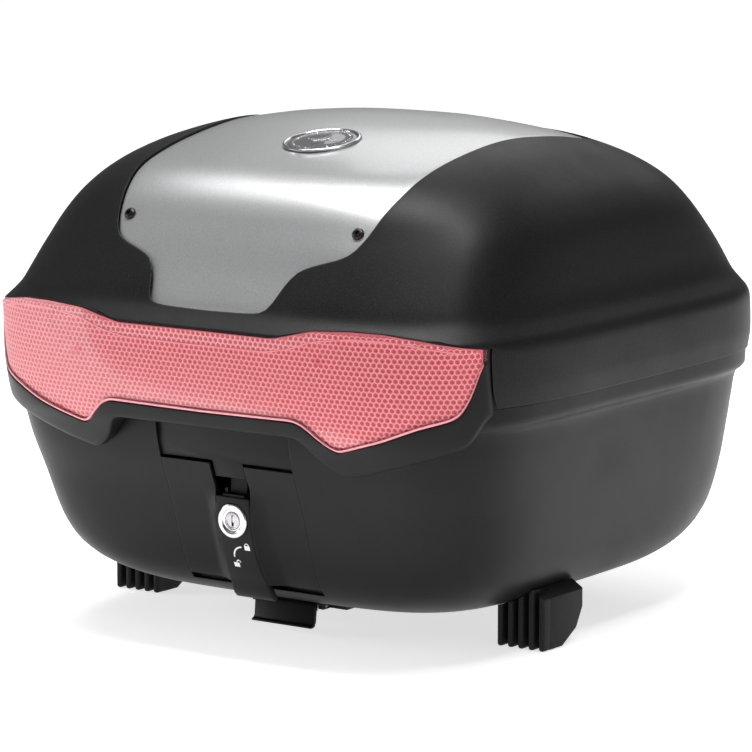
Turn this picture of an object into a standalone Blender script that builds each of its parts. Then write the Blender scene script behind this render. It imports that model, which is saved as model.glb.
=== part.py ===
"""One-helmet motorcycle top case: tub, domed lid, reflector, latch and release lever.

Frame: +X to the right when facing the lock, -Y towards the lock face, +Z up, and z = 0 under the
feet. Lengths are in millimetres and are turned into metres as each mesh is made.
"""
import math
from collections import namedtuple

import bmesh
import bpy
import numpy as np
from mathutils import Matrix, Vector

MM = 0.001
GAP = 0.3                 # clear space between neighbouring pieces
RING_POINTS = 36          # points round each section of the shells

# One horizontal section of a shell: squareness is the exponent of its corner curve
Level = namedtuple("Level", "z half_width front rear front_square rear_square")

BASE_LEVELS = [
    Level(25, 120, -106, 120, 4.0, 4.0),
    Level(27.5, 144, -127, 141, 4.4, 4.3),
    Level(33.5, 163, -139, 158, 5.0, 4.8),
    Level(43, 178, -147.5, 174, 5.8, 5.1),
    Level(57, 188.5, -154.5, 188, 6.6, 5.4),
    Level(75, 195, -161, 198, 7.0, 5.6),
    Level(103, 201, -170, 205, 7.0, 5.6),
    Level(133, 206, -181.5, 208.5, 7.0, 5.6),
    Level(150, 208.5, -185.5, 210, 7.0, 5.6),
    Level(167, 211.5, -187, 211.5, 7.0, 5.6),
    Level(174, 218, -187.5, 214.5, 7.0, 5.6),
    Level(185, 218.5, -187.5, 215, 7.0, 5.6),
]
LID_LEVELS = [
    Level(185.3, 221, -211, 216, 4.7, 5.6),
    Level(200, 222.5, -213, 217.5, 4.7, 5.6),
    Level(222, 222, -216, 217, 4.7, 5.6),
    Level(228, 220.5, -216.5, 216, 4.8, 5.6),
    Level(234, 216, -210, 213.5, 4.9, 5.5),
    Level(241, 210.5, -202, 210.5, 5.1, 5.4),
    Level(250, 206.5, -195.5, 207, 5.2, 5.3),
    Level(268, 202, -182.5, 196, 5.0, 5.0),
    Level(290, 196, -166.5, 179, 4.6, 4.6),
    Level(310, 184, -151.5, 164.5, 4.2, 4.2),
    Level(326, 168, -131, 143, 3.8, 3.8),
    Level(338, 151, -95, 114, 3.4, 3.4),
    Level(347, 127, -49, 87, 3.0, 3.0),
    Level(353, 90, -5, 68, 2.7, 2.7),
    Level(356.5, 46, 28, 60, 2.4, 2.4),
]
RIM_Z = 185.0
WALL = 3.0
LID_WALL = 3.2
LID_FRONT_EXTRA = 4.0     # the lid is thicker behind the reflector
RIM_THICKNESS = 10.5
GROOVE = (5.6, 9.0, 181.0)
SHELF = (187.8, 191.0)    # inner ledge of the lid that presses on the seal

POCKET_HALF = 57.0        # recess in the base for the latch, open to the front and top
POCKET_BACK = -138.0
POCKET_FLOOR = 37.0
FLOOR_Z = 28.2            # inside floor of the base

HINGE_Y = 215.5
HINGE_Z = 185.0
HINGE_X = (62.0, 112.0)   # inner and outer end of each hinge
KNUCKLE_RADIUS = 4.5
PIN_RADIUS = 1.9

# Reflector face on the centre line, as (z, y)
FACE = [(128, -187.5), (132, -189.8), (150, -200.5), (160, -207), (171, -211), (185, -214.5),
        (200, -217), (229, -220), (242, -221)]
FACE_HALF_WIDTH = 222.5
FACE_SQUARE = 4.7
FACE_MIDDLE = 3.0
LENS_TOP = [(0, 228), (66, 227.8), (82, 231.5), (98, 235.5), (128, 237.3), (152, 236.8),
            (172, 234), (207, 226.3)]
LENS_BOTTOM = [(0, 170), (78, 170.8), (86, 168), (103, 153.3), (109, 151), (116, 153),
               (145, 162), (170, 172), (190, 178.5), (195, 182), (201, 195), (207, 224.5)]
BEZEL_BOTTOM = [(0, 159), (75, 159), (80.5, 156.5), (90, 143), (100, 135), (107, 132),
                (127.5, 137), (171, 150.5), (192, 158.5), (197, 162), (207, 184)]
LENS_END = 206.5
PLATE_END = 198.0
LENS_THICKNESS = 2.2
PLATE_THICKNESS = 1.2
BEZEL_BACKING = 2.5
BEZEL_LIP = 3.0

# Plan of the bright cover, right half, as (x, y) from the tongue at the front to the rear edge
COVER_PLAN = [(0, -203.5), (45, -202.5), (52, -198), (57, -188), (64, -181), (98, -173),
              (107, -162), (112.5, -147), (117, -128), (118, -78), (120, -21), (128.5, 24),
              (136, 55), (133, 78), (118, 88), (0, 91)]
COVER_RECESS = 4.5
COVER_THICKNESS = 2.8
COVER_FIT = 0.8

LEVER_PIVOT = (-158.0, 103.0)
LEVER_TOP = 105.5
LEVER_HALF = 14.2
LEVER_FRONT = [(-173.6, 105.5), (-173.2, 97), (-172.2, 88.7), (-170.0, 78), (-166.8, 68),
               (-162.8, 58), (-159.0, 50), (-155.0, 43)]
LOCK_Z = 88.7
LOCK_SEAT = -171.8
LOCK_RADIUS = 8.5
PANEL_TOP = 129.0
PANEL_THICKNESS = 3.0
TAB_HALF = 13.0
NOTCH_Z = 100.0           # the notch reaches down behind the lever, so that its heel swings clear
RELEASE_PIVOT = (-104.5, 20.5)
RELEASE_HALF = 26.0
PLATE = (45.0, -100.0, 40.0, 18.0)     # half width, front, rear and underside of the docking plate
BADGE = (0.0, -66.0, 28.0)             # x, y and radius of the round badge
FOOT_X = (149.0, 188.0)
REAR_FOOT_X = (42.0, 80.0)


def at(profile, value):
    """Read a hand-drawn profile at a value between its points."""
    return float(np.interp(value, [p[0] for p in profile], [p[1] for p in profile]))


def material(name, colour, roughness, metallic=0.0, alpha=1.0):
    mat = bpy.data.materials.new(name)
    mat.use_nodes = True
    shader = mat.node_tree.nodes["Principled BSDF"]
    shader.inputs["Base Color"].default_value = (*colour, 1.0)
    shader.inputs["Roughness"].default_value = roughness
    shader.inputs["Metallic"].default_value = metallic
    shader.inputs["Alpha"].default_value = alpha
    mat.diffuse_color = (*colour, alpha)
    return mat


def from_bmesh(name, bm, mat=None, smooth=30.0):
    bmesh.ops.recalc_face_normals(bm, faces=bm.faces)
    mesh = bpy.data.meshes.new(name)
    bm.to_mesh(mesh)
    bm.free()
    mesh.shade_smooth()
    mesh.set_sharp_from_angle(angle=math.radians(smooth))
    obj = bpy.data.objects.new(name, mesh)
    bpy.context.scene.collection.objects.link(obj)
    if mat is not None:
        mesh.materials.append(mat)
    return obj


def combine(obj, tool, operation="DIFFERENCE"):
    """Apply a Boolean at once, and drop the tool."""
    mod = obj.modifiers.new("cut", "BOOLEAN")
    mod.operation = operation
    mod.solver = "EXACT"
    mod.object = tool
    depsgraph = bpy.context.evaluated_depsgraph_get()
    mesh = bpy.data.meshes.new_from_object(obj.evaluated_get(depsgraph))
    obj.modifiers.clear()
    old = obj.data
    obj.data = mesh
    bpy.data.meshes.remove(old)
    bpy.data.objects.remove(tool)
    mesh.shade_smooth()
    mesh.set_sharp_from_angle(angle=math.radians(30.0))
    return obj


def finish_shell(obj):
    """Merge flat neighbouring faces, and drop any sliver that a cut has left loose."""
    bm = bmesh.new()
    bm.from_mesh(obj.data)
    bmesh.ops.dissolve_limit(bm, angle_limit=0.002, verts=bm.verts, edges=bm.edges)
    bodies = []
    left = set(bm.verts)
    while left:
        body = {left.pop()}
        edge_of_body = list(body)
        while edge_of_body:
            vert = edge_of_body.pop()
            for edge in vert.link_edges:
                other = edge.other_vert(vert)
                if other in left:
                    left.discard(other)
                    body.add(other)
                    edge_of_body.append(other)
        bodies.append(body)
    bodies.sort(key=len)
    loose = [vert for body in bodies[:-1] for vert in body]
    bmesh.ops.delete(bm, geom=loose, context="VERTS")
    bmesh.ops.triangulate(bm, faces=bm.faces[:])
    bm.to_mesh(obj.data)
    bm.free()
    obj.data.shade_smooth()
    obj.data.set_sharp_from_angle(angle=math.radians(30.0))


def section(level, inset=0.0, front_extra=0.0):
    """Points round one section, pulled in by inset; the front may come in further."""
    middle = 0.5 * (level.front + level.rear)
    half = level.half_width - inset
    points = []
    for k in range(RING_POINTS):
        turn = 2.0 * math.pi * k / RING_POINTS
        c, s = math.cos(turn), math.sin(turn)
        power = 2.0 / (level.front_square if s < 0 else level.rear_square)
        reach = level.rear - inset - middle
        if s < 0:
            reach = middle - level.front - inset - front_extra
        x = half * math.copysign(abs(c) ** power, c)
        y = middle + reach * math.copysign(abs(s) ** power, s)
        points.append((x, y))
    return points


def lofted(name, levels, inset=0.0, top_drop=0.0, front_extra=0.0, front_until=0.0, mat=None):
    """A closed solid through the levels; top_drop lowers the sloping part of a dome."""
    bm = bmesh.new()
    rings = []
    for index, level in enumerate(levels):
        before = levels[max(index - 1, 0)]
        after = levels[min(index + 1, len(levels) - 1)]
        run = abs(after.half_width - before.half_width)
        rise = abs(after.z - before.z)
        lean = run / math.hypot(run, rise) if index > 0 else 0.0
        z = level.z - top_drop * lean
        side = inset * math.sqrt(max(1.0 - lean * lean, 0.0))
        extra = front_extra if level.z <= front_until else 0.0
        rings.append([bm.verts.new((x * MM, y * MM, z * MM)) for x, y in section(level, side, extra)])
    for low, high in zip(rings, rings[1:]):
        for k in range(RING_POINTS):
            n = (k + 1) % RING_POINTS
            bm.faces.new((low[k], low[n], high[n]))
            bm.faces.new((low[k], high[n], high[k]))
    caps = [bm.faces.new(list(reversed(rings[0]))), bm.faces.new(rings[-1])]
    bmesh.ops.poke(bm, faces=caps)
    return from_bmesh(name, bm, mat)


def between(levels, low, high):
    """The levels cut to a height range, with sections read off at its two ends."""
    def read(z):
        fields = zip(*levels)
        zs = [level.z for level in levels]
        return Level(*[float(np.interp(z, zs, values)) for values in fields])
    inner = [level for level in levels if low < level.z < high]
    return [read(low)] + inner + [read(high)]


def block(name, low, high, mat=None, bevel=0.0):
    """A box between two corners, with its edges rounded off where asked."""
    low, high = Vector(low) * MM, Vector(high) * MM
    bm = bmesh.new()
    bmesh.ops.create_cube(bm, size=1.0)
    bmesh.ops.scale(bm, vec=high - low, verts=bm.verts)
    bmesh.ops.translate(bm, vec=(low + high) / 2, verts=bm.verts)
    if bevel:
        bmesh.ops.bevel(bm, geom=bm.edges[:], offset=bevel * MM, segments=2, affect="EDGES", profile=0.5)
    return from_bmesh(name, bm, mat)


def cylinder(name, start, end, radius, mat=None, sides=20, end_radius=None):
    """A round bar or cone from one point to another."""
    start, end = Vector(start) * MM, Vector(end) * MM
    bm = bmesh.new()
    tip = radius if end_radius is None else end_radius
    bmesh.ops.create_cone(bm, cap_ends=True, segments=sides, radius1=radius * MM, radius2=tip * MM,
                          depth=(end - start).length)
    turn = (end - start).to_track_quat("Z", "Y").to_matrix().to_4x4()
    bmesh.ops.transform(bm, matrix=Matrix.Translation((start + end) / 2) @ turn, verts=bm.verts)
    return from_bmesh(name, bm, mat)


def side_profile(name, profile, low_x, high_x, mat=None):
    """Extrude a closed (y, z) outline along X."""
    bm = bmesh.new()
    left = [bm.verts.new((low_x * MM, y * MM, z * MM)) for y, z in profile]
    right = [bm.verts.new((high_x * MM, y * MM, z * MM)) for y, z in profile]
    count = len(profile)
    for k in range(count):
        n = (k + 1) % count
        bm.faces.new((left[k], left[n], right[n], right[k]))
    bm.faces.new(left)
    bm.faces.new(list(reversed(right)))
    return from_bmesh(name, bm, mat)


def pocket(name, grow=0.0):
    """The latch recess as a solid that runs out past the front and the rim."""
    return block(name, (-POCKET_HALF - grow, -260, POCKET_FLOOR - grow), (POCKET_HALF + grow, POCKET_BACK + grow, 240))


def own_origin(obj, y, z, x=0.0):
    """Put an object's origin on its joint axis without moving its mesh."""
    point = Vector((x, y, z)) * MM
    obj.data.transform(Matrix.Translation(-point))
    obj.location = point
    return obj


# ---------------------------------------------------------------- base
def base_wall_y(z):
    return at([(level.z, level.front) for level in BASE_LEVELS], z)


def make_base(plastic):
    shell = lofted("base_shell", BASE_LEVELS, mat=plastic)
    combine(shell, pocket("pocket_cut"))
    hollow_levels = between(BASE_LEVELS, FLOOR_Z, 168)
    hollow = lofted("hollow", hollow_levels, inset=WALL)
    combine(hollow, pocket("pocket_keep", grow=WALL + 1.0))
    combine(shell, hollow)
    mouth_levels = [level._replace(z=level.z + extra) for level, extra in
                    zip(between(BASE_LEVELS, 167, 185), (0, 0, 15))]
    mouth = lofted("mouth", mouth_levels, inset=RIM_THICKNESS)
    combine(mouth, pocket("pocket_rim", grow=RIM_THICKNESS))
    combine(shell, mouth)
    groove = ring_solid("groove", GROOVE[0], GROOVE[1], GROOVE[2], RIM_Z + 5)
    combine(shell, groove)
    for side in (-1, 1):
        ends = sorted((side * (HINGE_X[0] - 1), side * (HINGE_X[1] + 1)))
        combine(shell, block("hinge_cut", (ends[0], 210.6, 178.5), (ends[1], 230, 190)))
    return shell


def ring_solid(name, outer, inner, low, high, mat=None):
    """A ring that follows the rim of the base and steps in round the latch recess."""
    rim = BASE_LEVELS[-1]
    tall = [rim._replace(z=low), rim._replace(z=high)]
    longer = [rim._replace(z=low - 5), rim._replace(z=high + 5)]
    ring = lofted(name, tall, inset=outer, mat=mat)
    combine(ring, pocket("ring_out", grow=outer))
    core = lofted("core", longer, inset=inner)
    combine(core, pocket("ring_in", grow=inner))
    combine(ring, core)
    return ring


def make_seal(rubber):
    return ring_solid("rim_seal", GROOVE[0] + GAP, GROOVE[1] - GAP, GROOVE[2] + GAP, SHELF[0] - GAP, rubber)


# ---------------------------------------------------------------- lid
def cover_prism(name, shrink, low, high):
    """The cover's plan drawn straight up through the dome."""
    half = [Vector(p) for p in COVER_PLAN]
    loop = half + [Vector((-p.x, p.y)) for p in reversed(half[1:-1])]
    centre = Vector((0, -50))
    points = []
    count = len(loop)
    for k, p in enumerate(loop):
        along = (loop[(k + 1) % count] - loop[k - 1]).normalized()
        out = Vector((along.y, -along.x))
        if out.dot(p - centre) < 0:
            out = -out
        points.append(p - out * shrink)
    bm = bmesh.new()
    bottom = [bm.verts.new((p.x * MM, p.y * MM, low * MM)) for p in points]
    top = [bm.verts.new((p.x * MM, p.y * MM, high * MM)) for p in points]
    for k in range(count):
        n = (k + 1) % count
        bm.faces.new((bottom[k], bottom[n], top[n], top[k]))
    bm.faces.new(list(reversed(bottom)))
    bm.faces.new(top)
    return from_bmesh(name, bm)


def dome(name, depth, mat=None):
    """The lid's outer form pulled in all over by depth."""
    return lofted(name, between(LID_LEVELS, 205, LID_LEVELS[-1].z), inset=depth, top_drop=depth, mat=mat)


def make_lid(plastic):
    shell = lofted("lid_shell", LID_LEVELS, mat=plastic)
    recess = cover_prism("recess", 0.0, 228, 380)
    combine(recess, dome("recess_floor", COVER_RECESS))
    combine(shell, recess)
    hollow = lofted("lid_hollow", between(LID_LEVELS, SHELF[1], 356.5), inset=LID_WALL, top_drop=LID_WALL,
                    front_extra=LID_FRONT_EXTRA, front_until=235)
    thick = cover_prism("thick", -LID_WALL, 220, 380)
    combine(thick, dome("thick_floor", COVER_RECESS + LID_WALL))
    combine(hollow, thick)
    combine(shell, hollow)
    lower = lofted("lid_mouth", between([level._replace(z=level.z - 1) for level in LID_LEVELS], 184.3, SHELF[0]),
                   inset=LID_WALL)
    combine(shell, lower)
    rim = BASE_LEVELS[-1]
    opening = lofted("opening", [rim._replace(z=180), rim._replace(z=200)], inset=RIM_THICKNESS)
    combine(opening, pocket("pocket_lid", grow=RIM_THICKNESS))
    combine(shell, opening)
    combine(shell, reflector_pocket())
    for side in (-1, 1):
        start, end = screw_line(side)
        combine(shell, cylinder("screw_hole", start, end, 3.3, sides=20))
    for side in (-1, 1):
        ends = sorted((side * (HINGE_X[0] - 1), side * (HINGE_X[1] + 1)))
        combine(shell, block("hinge_cut", (ends[0], 210.6, 180), (ends[1], 230, 190.6)))
    return shell


def make_cover(silver):
    cover = cover_prism("lid_cover", COVER_FIT, 226, 380)
    cover.data.materials.append(silver)
    combine(cover, dome("cover_top", COVER_RECESS - COVER_THICKNESS - GAP), "INTERSECT")
    combine(cover, dome("cover_under", COVER_RECESS - 2 * GAP))
    for side in (-1, 1):
        start, end = screw_line(side)
        combine(cover, cylinder("screw_hole", start, end, 3.3, sides=20))
    return cover


# ---------------------------------------------------------------- reflector and bezel
def face_y(x, z):
    """Outer surface of the lens and bezel."""
    reach = FACE_MIDDLE - at(FACE, z)
    part = max(1.0 - abs(x / FACE_HALF_WIDTH) ** FACE_SQUARE, 0.0)
    return FACE_MIDDLE - reach * part ** (1.0 / FACE_SQUARE)


def back_limit(x, z):
    """How far back a piece may reach so that it swings clear of the base's rim."""
    rim = BASE_LEVELS[-1]
    middle = 0.5 * (rim.front + rim.rear)
    part = max(1.0 - abs(x / rim.half_width) ** rim.front_square, 0.0)
    rim_y = middle - (middle - rim.front) * part ** (1.0 / rim.front_square)
    radius = HINGE_Y - rim_y + 1.4
    drop = min(z, HINGE_Z) - HINGE_Z
    return HINGE_Y - math.sqrt(radius * radius - drop * drop)


def columns(end):
    """Stations across the width, closer where the outline turns."""
    half = [0, 40, 72, 80, 88, 98, 104, 109, 117, 134, 158, 178, 190, 196, 201, end]
    half = sorted(x for x in set(half) if x <= end)
    return [-x for x in reversed(half[1:])] + half


def swept(name, end, outline, mat=None):
    """Join the (y, z) outlines read at each station across the width."""
    bm = bmesh.new()
    rings = []
    for x in columns(end):
        rings.append([bm.verts.new((x * MM, y * MM, z * MM)) for y, z in outline(x)])
    count = len(rings[0])
    for left, right in zip(rings, rings[1:]):
        for k in range(count):
            n = (k + 1) % count
            bm.faces.new((left[k], left[n], right[n], right[k]))
    bm.faces.new(rings[0])
    bm.faces.new(list(reversed(rings[-1])))
    bmesh.ops.triangulate(bm, faces=bm.faces[:])
    return from_bmesh(name, bm, mat)


def sheet_outline(x, depth, thickness, low, high, rows=3):
    """A curved sheet behind the face, between two heights."""
    zs = [low + (high - low) * k / rows for k in range(rows + 1)]
    front = [(face_y(x, z) + depth, z) for z in zs]
    back = [(face_y(x, z) + depth + thickness, z) for z in reversed(zs)]
    return front + back


def lens_heights(x):
    return at(LENS_BOTTOM, abs(x)), at(LENS_TOP, abs(x))


def step_depth(x):
    """Depth of the seat for the lens and the plate behind it."""
    deep = LENS_THICKNESS + PLATE_THICKNESS + 5 * GAP
    shallow = LENS_THICKNESS + GAP
    return at([(0, deep), (PLATE_END + 1, deep), (PLATE_END + 3, shallow), (210, shallow)], abs(x))


def bezel_outline(x):
    bottom = at(BEZEL_BOTTOM, abs(x))
    seat, top = lens_heights(x)
    seat -= GAP
    depth = step_depth(x)
    lip_top = bottom + BEZEL_LIP
    mid = 0.5 * (seat + top)
    lower = 0.5 * (bottom + seat)

    def back(z):
        return min(face_y(x, z) + depth + BEZEL_BACKING, back_limit(x, z))
    lip = max(back(lip_top), back_limit(x, bottom) - 2.0)
    lip = min(lip, back_limit(x, bottom))
    return [(face_y(x, bottom), bottom), (face_y(x, lower), lower), (face_y(x, seat), seat),
            (face_y(x, seat) + depth, seat), (face_y(x, mid) + depth, mid), (face_y(x, top) + depth, top),
            (back(top), top), (back(mid), mid), (back(seat), seat), (back(lip_top), lip_top),
            (lip, lip_top), (lip, bottom)]


def reflector_pocket():
    """Room for the reflector in the lid's front, open to the front and below."""
    def outline(x):
        top = lens_heights(x)[1] + GAP
        depth = step_depth(x) + BEZEL_BACKING + 4 * GAP
        return [(-250, 150), (-250, top), (face_y(x, top) + depth, top),
                (face_y(x, 207) + depth, 207), (face_y(x, 180) + depth, 180), (face_y(x, 180) + depth, 150)]
    return swept("reflector_pocket", LENS_END + 1.2, outline)


def make_reflector(black, chrome, red):
    swept("bezel", LENS_END, bezel_outline, black)
    plate_depth = LENS_THICKNESS + 2 * GAP

    def plate_outline(x):
        low, high = lens_heights(x)
        return sheet_outline(x, plate_depth, PLATE_THICKNESS, low + 1.5, high - 1.5)

    def lens_outline(x):
        low, high = lens_heights(x)
        return sheet_outline(x, 0.0, LENS_THICKNESS, low, high)
    swept("reflector_plate", PLATE_END, plate_outline, chrome)
    swept("reflector_lens", LENS_END, lens_outline, red)


def on_surface(depth, x, y):
    """Point and outward direction on the dome pulled in by depth, straight under (x, y)."""
    skin = dome("skin", depth)
    hit, where, normal, _ = skin.ray_cast(Vector((x * MM, y * MM, 0.5)), Vector((0, 0, -1)))
    bpy.data.objects.remove(skin)
    return where / MM, normal


def screw_line(side, reach=14.0):
    """Axis of a cover screw, square to the cover there."""
    centre, out = on_surface(COVER_RECESS - COVER_THICKNESS - GAP, side * 97.5, -160.0)
    return centre - out * reach, centre + out * reach


def make_cover_screw(name, side, black):
    """A button-head screw with a hexagon socket."""
    centre, out = on_surface(COVER_RECESS - COVER_THICKNESS - GAP, side * 97.5, -160.0)
    head = cylinder(name, centre + out * GAP, centre + out * 2.6, 4.5, black, end_radius=3.2)
    combine(head, cylinder("shank", centre - out * 9, centre + out * 1.0, 2.8), "UNION")
    combine(head, cylinder("socket", centre + out * 1.1, centre + out * 4, 1.9, sides=6))
    return head


def make_badge(rim_metal, face_metal):
    """A round badge: a bright rim and a dished plate inside it."""
    x, y, radius = BADGE
    centre, out = on_surface(COVER_RECESS - COVER_THICKNESS - GAP, x, y)
    top = centre + out * 2.2
    under = centre - out * 6
    rim = cylinder("badge_rim", under, top, radius, rim_metal, sides=28)
    combine(rim, cylinder("rim_hole", under - out * 2, top + out * 2, radius - 3.0, sides=28))
    combine(rim, dome("rim_seat", COVER_RECESS - COVER_THICKNESS - 2 * GAP))
    plate = cylinder("badge_plate", under, top - out * 0.8, radius - 3.0 - GAP, face_metal, sides=28)
    combine(plate, dome("plate_seat", COVER_RECESS - COVER_THICKNESS - 2 * GAP))


# ---------------------------------------------------------------- hinges
def make_hinge(side, steel):
    """Base knuckles, lid knuckle and pin of one hinge."""
    word = "right" if side > 0 else "left"
    inner, outer = HINGE_X
    third = (outer - inner) / 3

    def span(a, b):
        return sorted((side * a, side * b))

    def knuckle(name, a, b, radius=KNUCKLE_RADIUS):
        low, high = span(a, b)
        return cylinder(name, (low, HINGE_Y, HINGE_Z), (high, HINGE_Y, HINGE_Z), radius, steel)

    def leg(a, b, low_z, high_z, back=HINGE_Y - 1):
        low, high = span(a, b)
        return block("leg", (low, 211, low_z), (high, back, high_z))
    bracket = knuckle("hinge_bracket_" + word, inner, inner + third - GAP)
    combine(bracket, knuckle("second", outer - third + GAP, outer), "UNION")
    combine(bracket, leg(inner, inner + third - GAP, 179, HINGE_Z), "UNION")
    combine(bracket, leg(outer - third + GAP, outer, 179, HINGE_Z), "UNION")
    combine(bracket, leg(inner, outer, 178.9, 180.1, HINGE_Y + 1.5), "UNION")
    combine(bracket, knuckle("bore", inner - 1, outer + 1, PIN_RADIUS + GAP))
    leaf = knuckle("lid_knuckle_" + word, inner + third + GAP, outer - third - GAP)
    combine(leaf, leg(inner + third + GAP, outer - third - GAP, HINGE_Z, 190.2), "UNION")
    combine(leaf, knuckle("bore", inner - 1, outer + 1, PIN_RADIUS + GAP))
    own_origin(leaf, HINGE_Y, HINGE_Z)
    knuckle("hinge_pin_" + word, inner, outer, PIN_RADIUS)


# ---------------------------------------------------------------- latch
def thick_line(front, thickness):
    """Close a (y, z) front line into an outline of even thickness behind it."""
    back = []
    for k, (y, z) in enumerate(front):
        a = Vector(front[max(k - 1, 0)])
        b = Vector(front[min(k + 1, len(front) - 1)])
        along = (b - a).normalized()
        normal = Vector((-along.y, along.x))
        if normal.x < 0:
            normal = -normal
        back.append((y + normal.x * thickness, z + normal.y * thickness))
    return front + list(reversed(back))


def make_panel(plastic):
    """Fixed cover of the latch recess, flush with the base, open in the middle for the lever."""
    heights = [PANEL_TOP, 116, 103, 90, 75, 64, 57, 50, 45, 41.5]
    front = [(base_wall_y(z), z) for z in heights]
    panel = side_profile("latch_panel", thick_line(front, PANEL_THICKNESS), -POCKET_HALF + GAP,
                         POCKET_HALF - GAP, plastic)
    combine(panel, block("tab_notch", (-15, -200, NOTCH_Z), (15, -140, 140)))
    combine(panel, block("stem_slot", (-11.5, -200, 71), (11.5, -140, 110)))
    return panel


def make_hasp(plastic, steel):
    """Lid tongue that hangs in front of the recess, with the tab and the strike behind it."""
    outline = [(-179, 131), (-182, 141), (-184.5, 165), (-184.5, 183), (-200, 183), (-200, 187.5),
               (-166, 187.5), (-166, 184), (-180.5, 184), (-180.5, 165), (-178, 141), (-175, 131)]
    hasp = side_profile("hasp", outline, -POCKET_HALF + GAP, POCKET_HALF - GAP, plastic)
    tab = [(-174.8, 119.4), (-179.2, 131.5), (-179.4, 134), (-175.4, 134), (-170.8, 119.4)]
    combine(hasp, side_profile("tab", tab, -TAB_HALF, TAB_HALF), "UNION")
    own_origin(hasp, HINGE_Y, HINGE_Z)
    block("strike", (-8, -170.2, 119.7), (8, -166.4, 127), steel, bevel=0.8)
    return hasp


def make_lever(plastic):
    """The latch lever: a proud tapered handle, a stem to the pivot and a hook above it."""
    front = LEVER_FRONT
    heights = [z for y, z in front]
    tip = [(-152.2, 37), (-149.5, 32), (-145.5, 28.5), (-142.6, 31.2), (-146.4, 37.5)]
    back = [(base_wall_y(z) - 2 * GAP, z) for z in reversed(heights)]
    lever = side_profile("latch_lever", front + tip + back, -LEVER_HALF, LEVER_HALF, plastic)
    for vert in lever.data.vertices:
        below = max(0.060 - vert.co.z, 0.0) / 0.030
        vert.co.x *= 1.0 + 0.2 * below
    y, z = LEVER_PIVOT
    combine(lever, block("stem", (-9, -172, 98.5), (9, y + 6, LEVER_TOP + 1.5)), "UNION")
    combine(lever, block("hook", (-7, -165.3, 102), (7, -161, 123)), "UNION")
    combine(lever, cylinder("pivot_bore", (-20, y, z), (20, y, z), 2.3))
    combine(lever, cylinder("lock_bore", (0, -190, LOCK_Z), (0, -150, LOCK_Z), LOCK_RADIUS + GAP))
    combine(lever, cylinder("ring_seat", (0, -190, LOCK_Z), (0, LOCK_SEAT, LOCK_Z), 12.6, sides=28))
    return own_origin(lever, y, z)


def make_lock(chrome, steel):
    """Lock housing with its ring, and the plug that turns inside it with a cam at its end."""
    face = LOCK_SEAT
    housing = cylinder("lock_housing", (0, face - 2.4, LOCK_Z), (0, face - GAP, LOCK_Z), 12.2, chrome, sides=28)
    barrel = cylinder("barrel", (0, face - 1, LOCK_Z), (0, -150, LOCK_Z), LOCK_RADIUS, sides=28)
    combine(housing, barrel, "UNION")
    combine(housing, cylinder("barrel_bore", (0, -200, LOCK_Z), (0, -140, LOCK_Z), 6.5, sides=28))
    core = cylinder("lock_core", (0, face - 1.7, LOCK_Z), (0, -149, LOCK_Z), 6.2, steel, sides=28)
    combine(core, block("key_slot", (-0.8, face - 5, LOCK_Z - 4.2), (0.8, face + 10, LOCK_Z + 4.2)))
    combine(core, block("cam", (-3, -149.5, LOCK_Z - 10), (3, -147, LOCK_Z + 4)), "UNION")
    own_origin(core, 0, LOCK_Z)


def make_latch_carrier(steel):
    """Steel carrier in the recess that holds the lever's pivot pin."""
    y, z = LEVER_PIVOT
    carrier = block("latch_carrier", (-20, -141, 84), (20, POCKET_BACK - GAP, 114), steel)
    for side in (-1, 1):
        low, high = sorted((side * 12, side * 14.5))
        combine(carrier, block("ear", (low, y - 4.5, z - 5), (high, -140, z + 6)), "UNION")
    combine(carrier, cylinder("pin_bore", (-20, y, z), (20, y, z), 2.3))
    cylinder("latch_pin", (-16, y, z), (16, y, z), 2.0, steel)


# ---------------------------------------------------------------- underside
def under_cut(obj):
    """Shape a piece to the underside of the base with the usual gap."""
    combine(obj, lofted("under", BASE_LEVELS[:7], inset=-GAP, top_drop=GAP))
    return obj


def make_front_foot(name, side, plastic):
    """Foot with a ribbed face, deepest at the front."""
    low, high = sorted((side * FOOT_X[0], side * FOOT_X[1]))
    outline = [(-63, 0), (-42, 0), (-24, 10), (-16, 24), (-16, 62), (-63, 62)]
    foot = side_profile(name, outline, low, high, plastic)
    for k in range(5):
        x = low + 3.9 + 7.8 * k
        combine(foot, cylinder("rib", (x, -63.5, 0), (x, -63.5, 60), 3.4, sides=14), "UNION")
    return under_cut(foot)


def make_rear_foot(name, side, plastic):
    """Plain rear support, cored out from below at the rear."""
    low, high = sorted((side * REAR_FOOT_X[0], side * REAR_FOOT_X[1]))
    outline = [(92, 0), (126, 0), (126, 40), (84, 40), (84, 12)]
    foot = side_profile(name, outline, low, high, plastic)
    return under_cut(foot)


def plate_screw_places():
    return [(x, y) for x in (-34, 34) for y in (-84, 26)]


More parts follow.
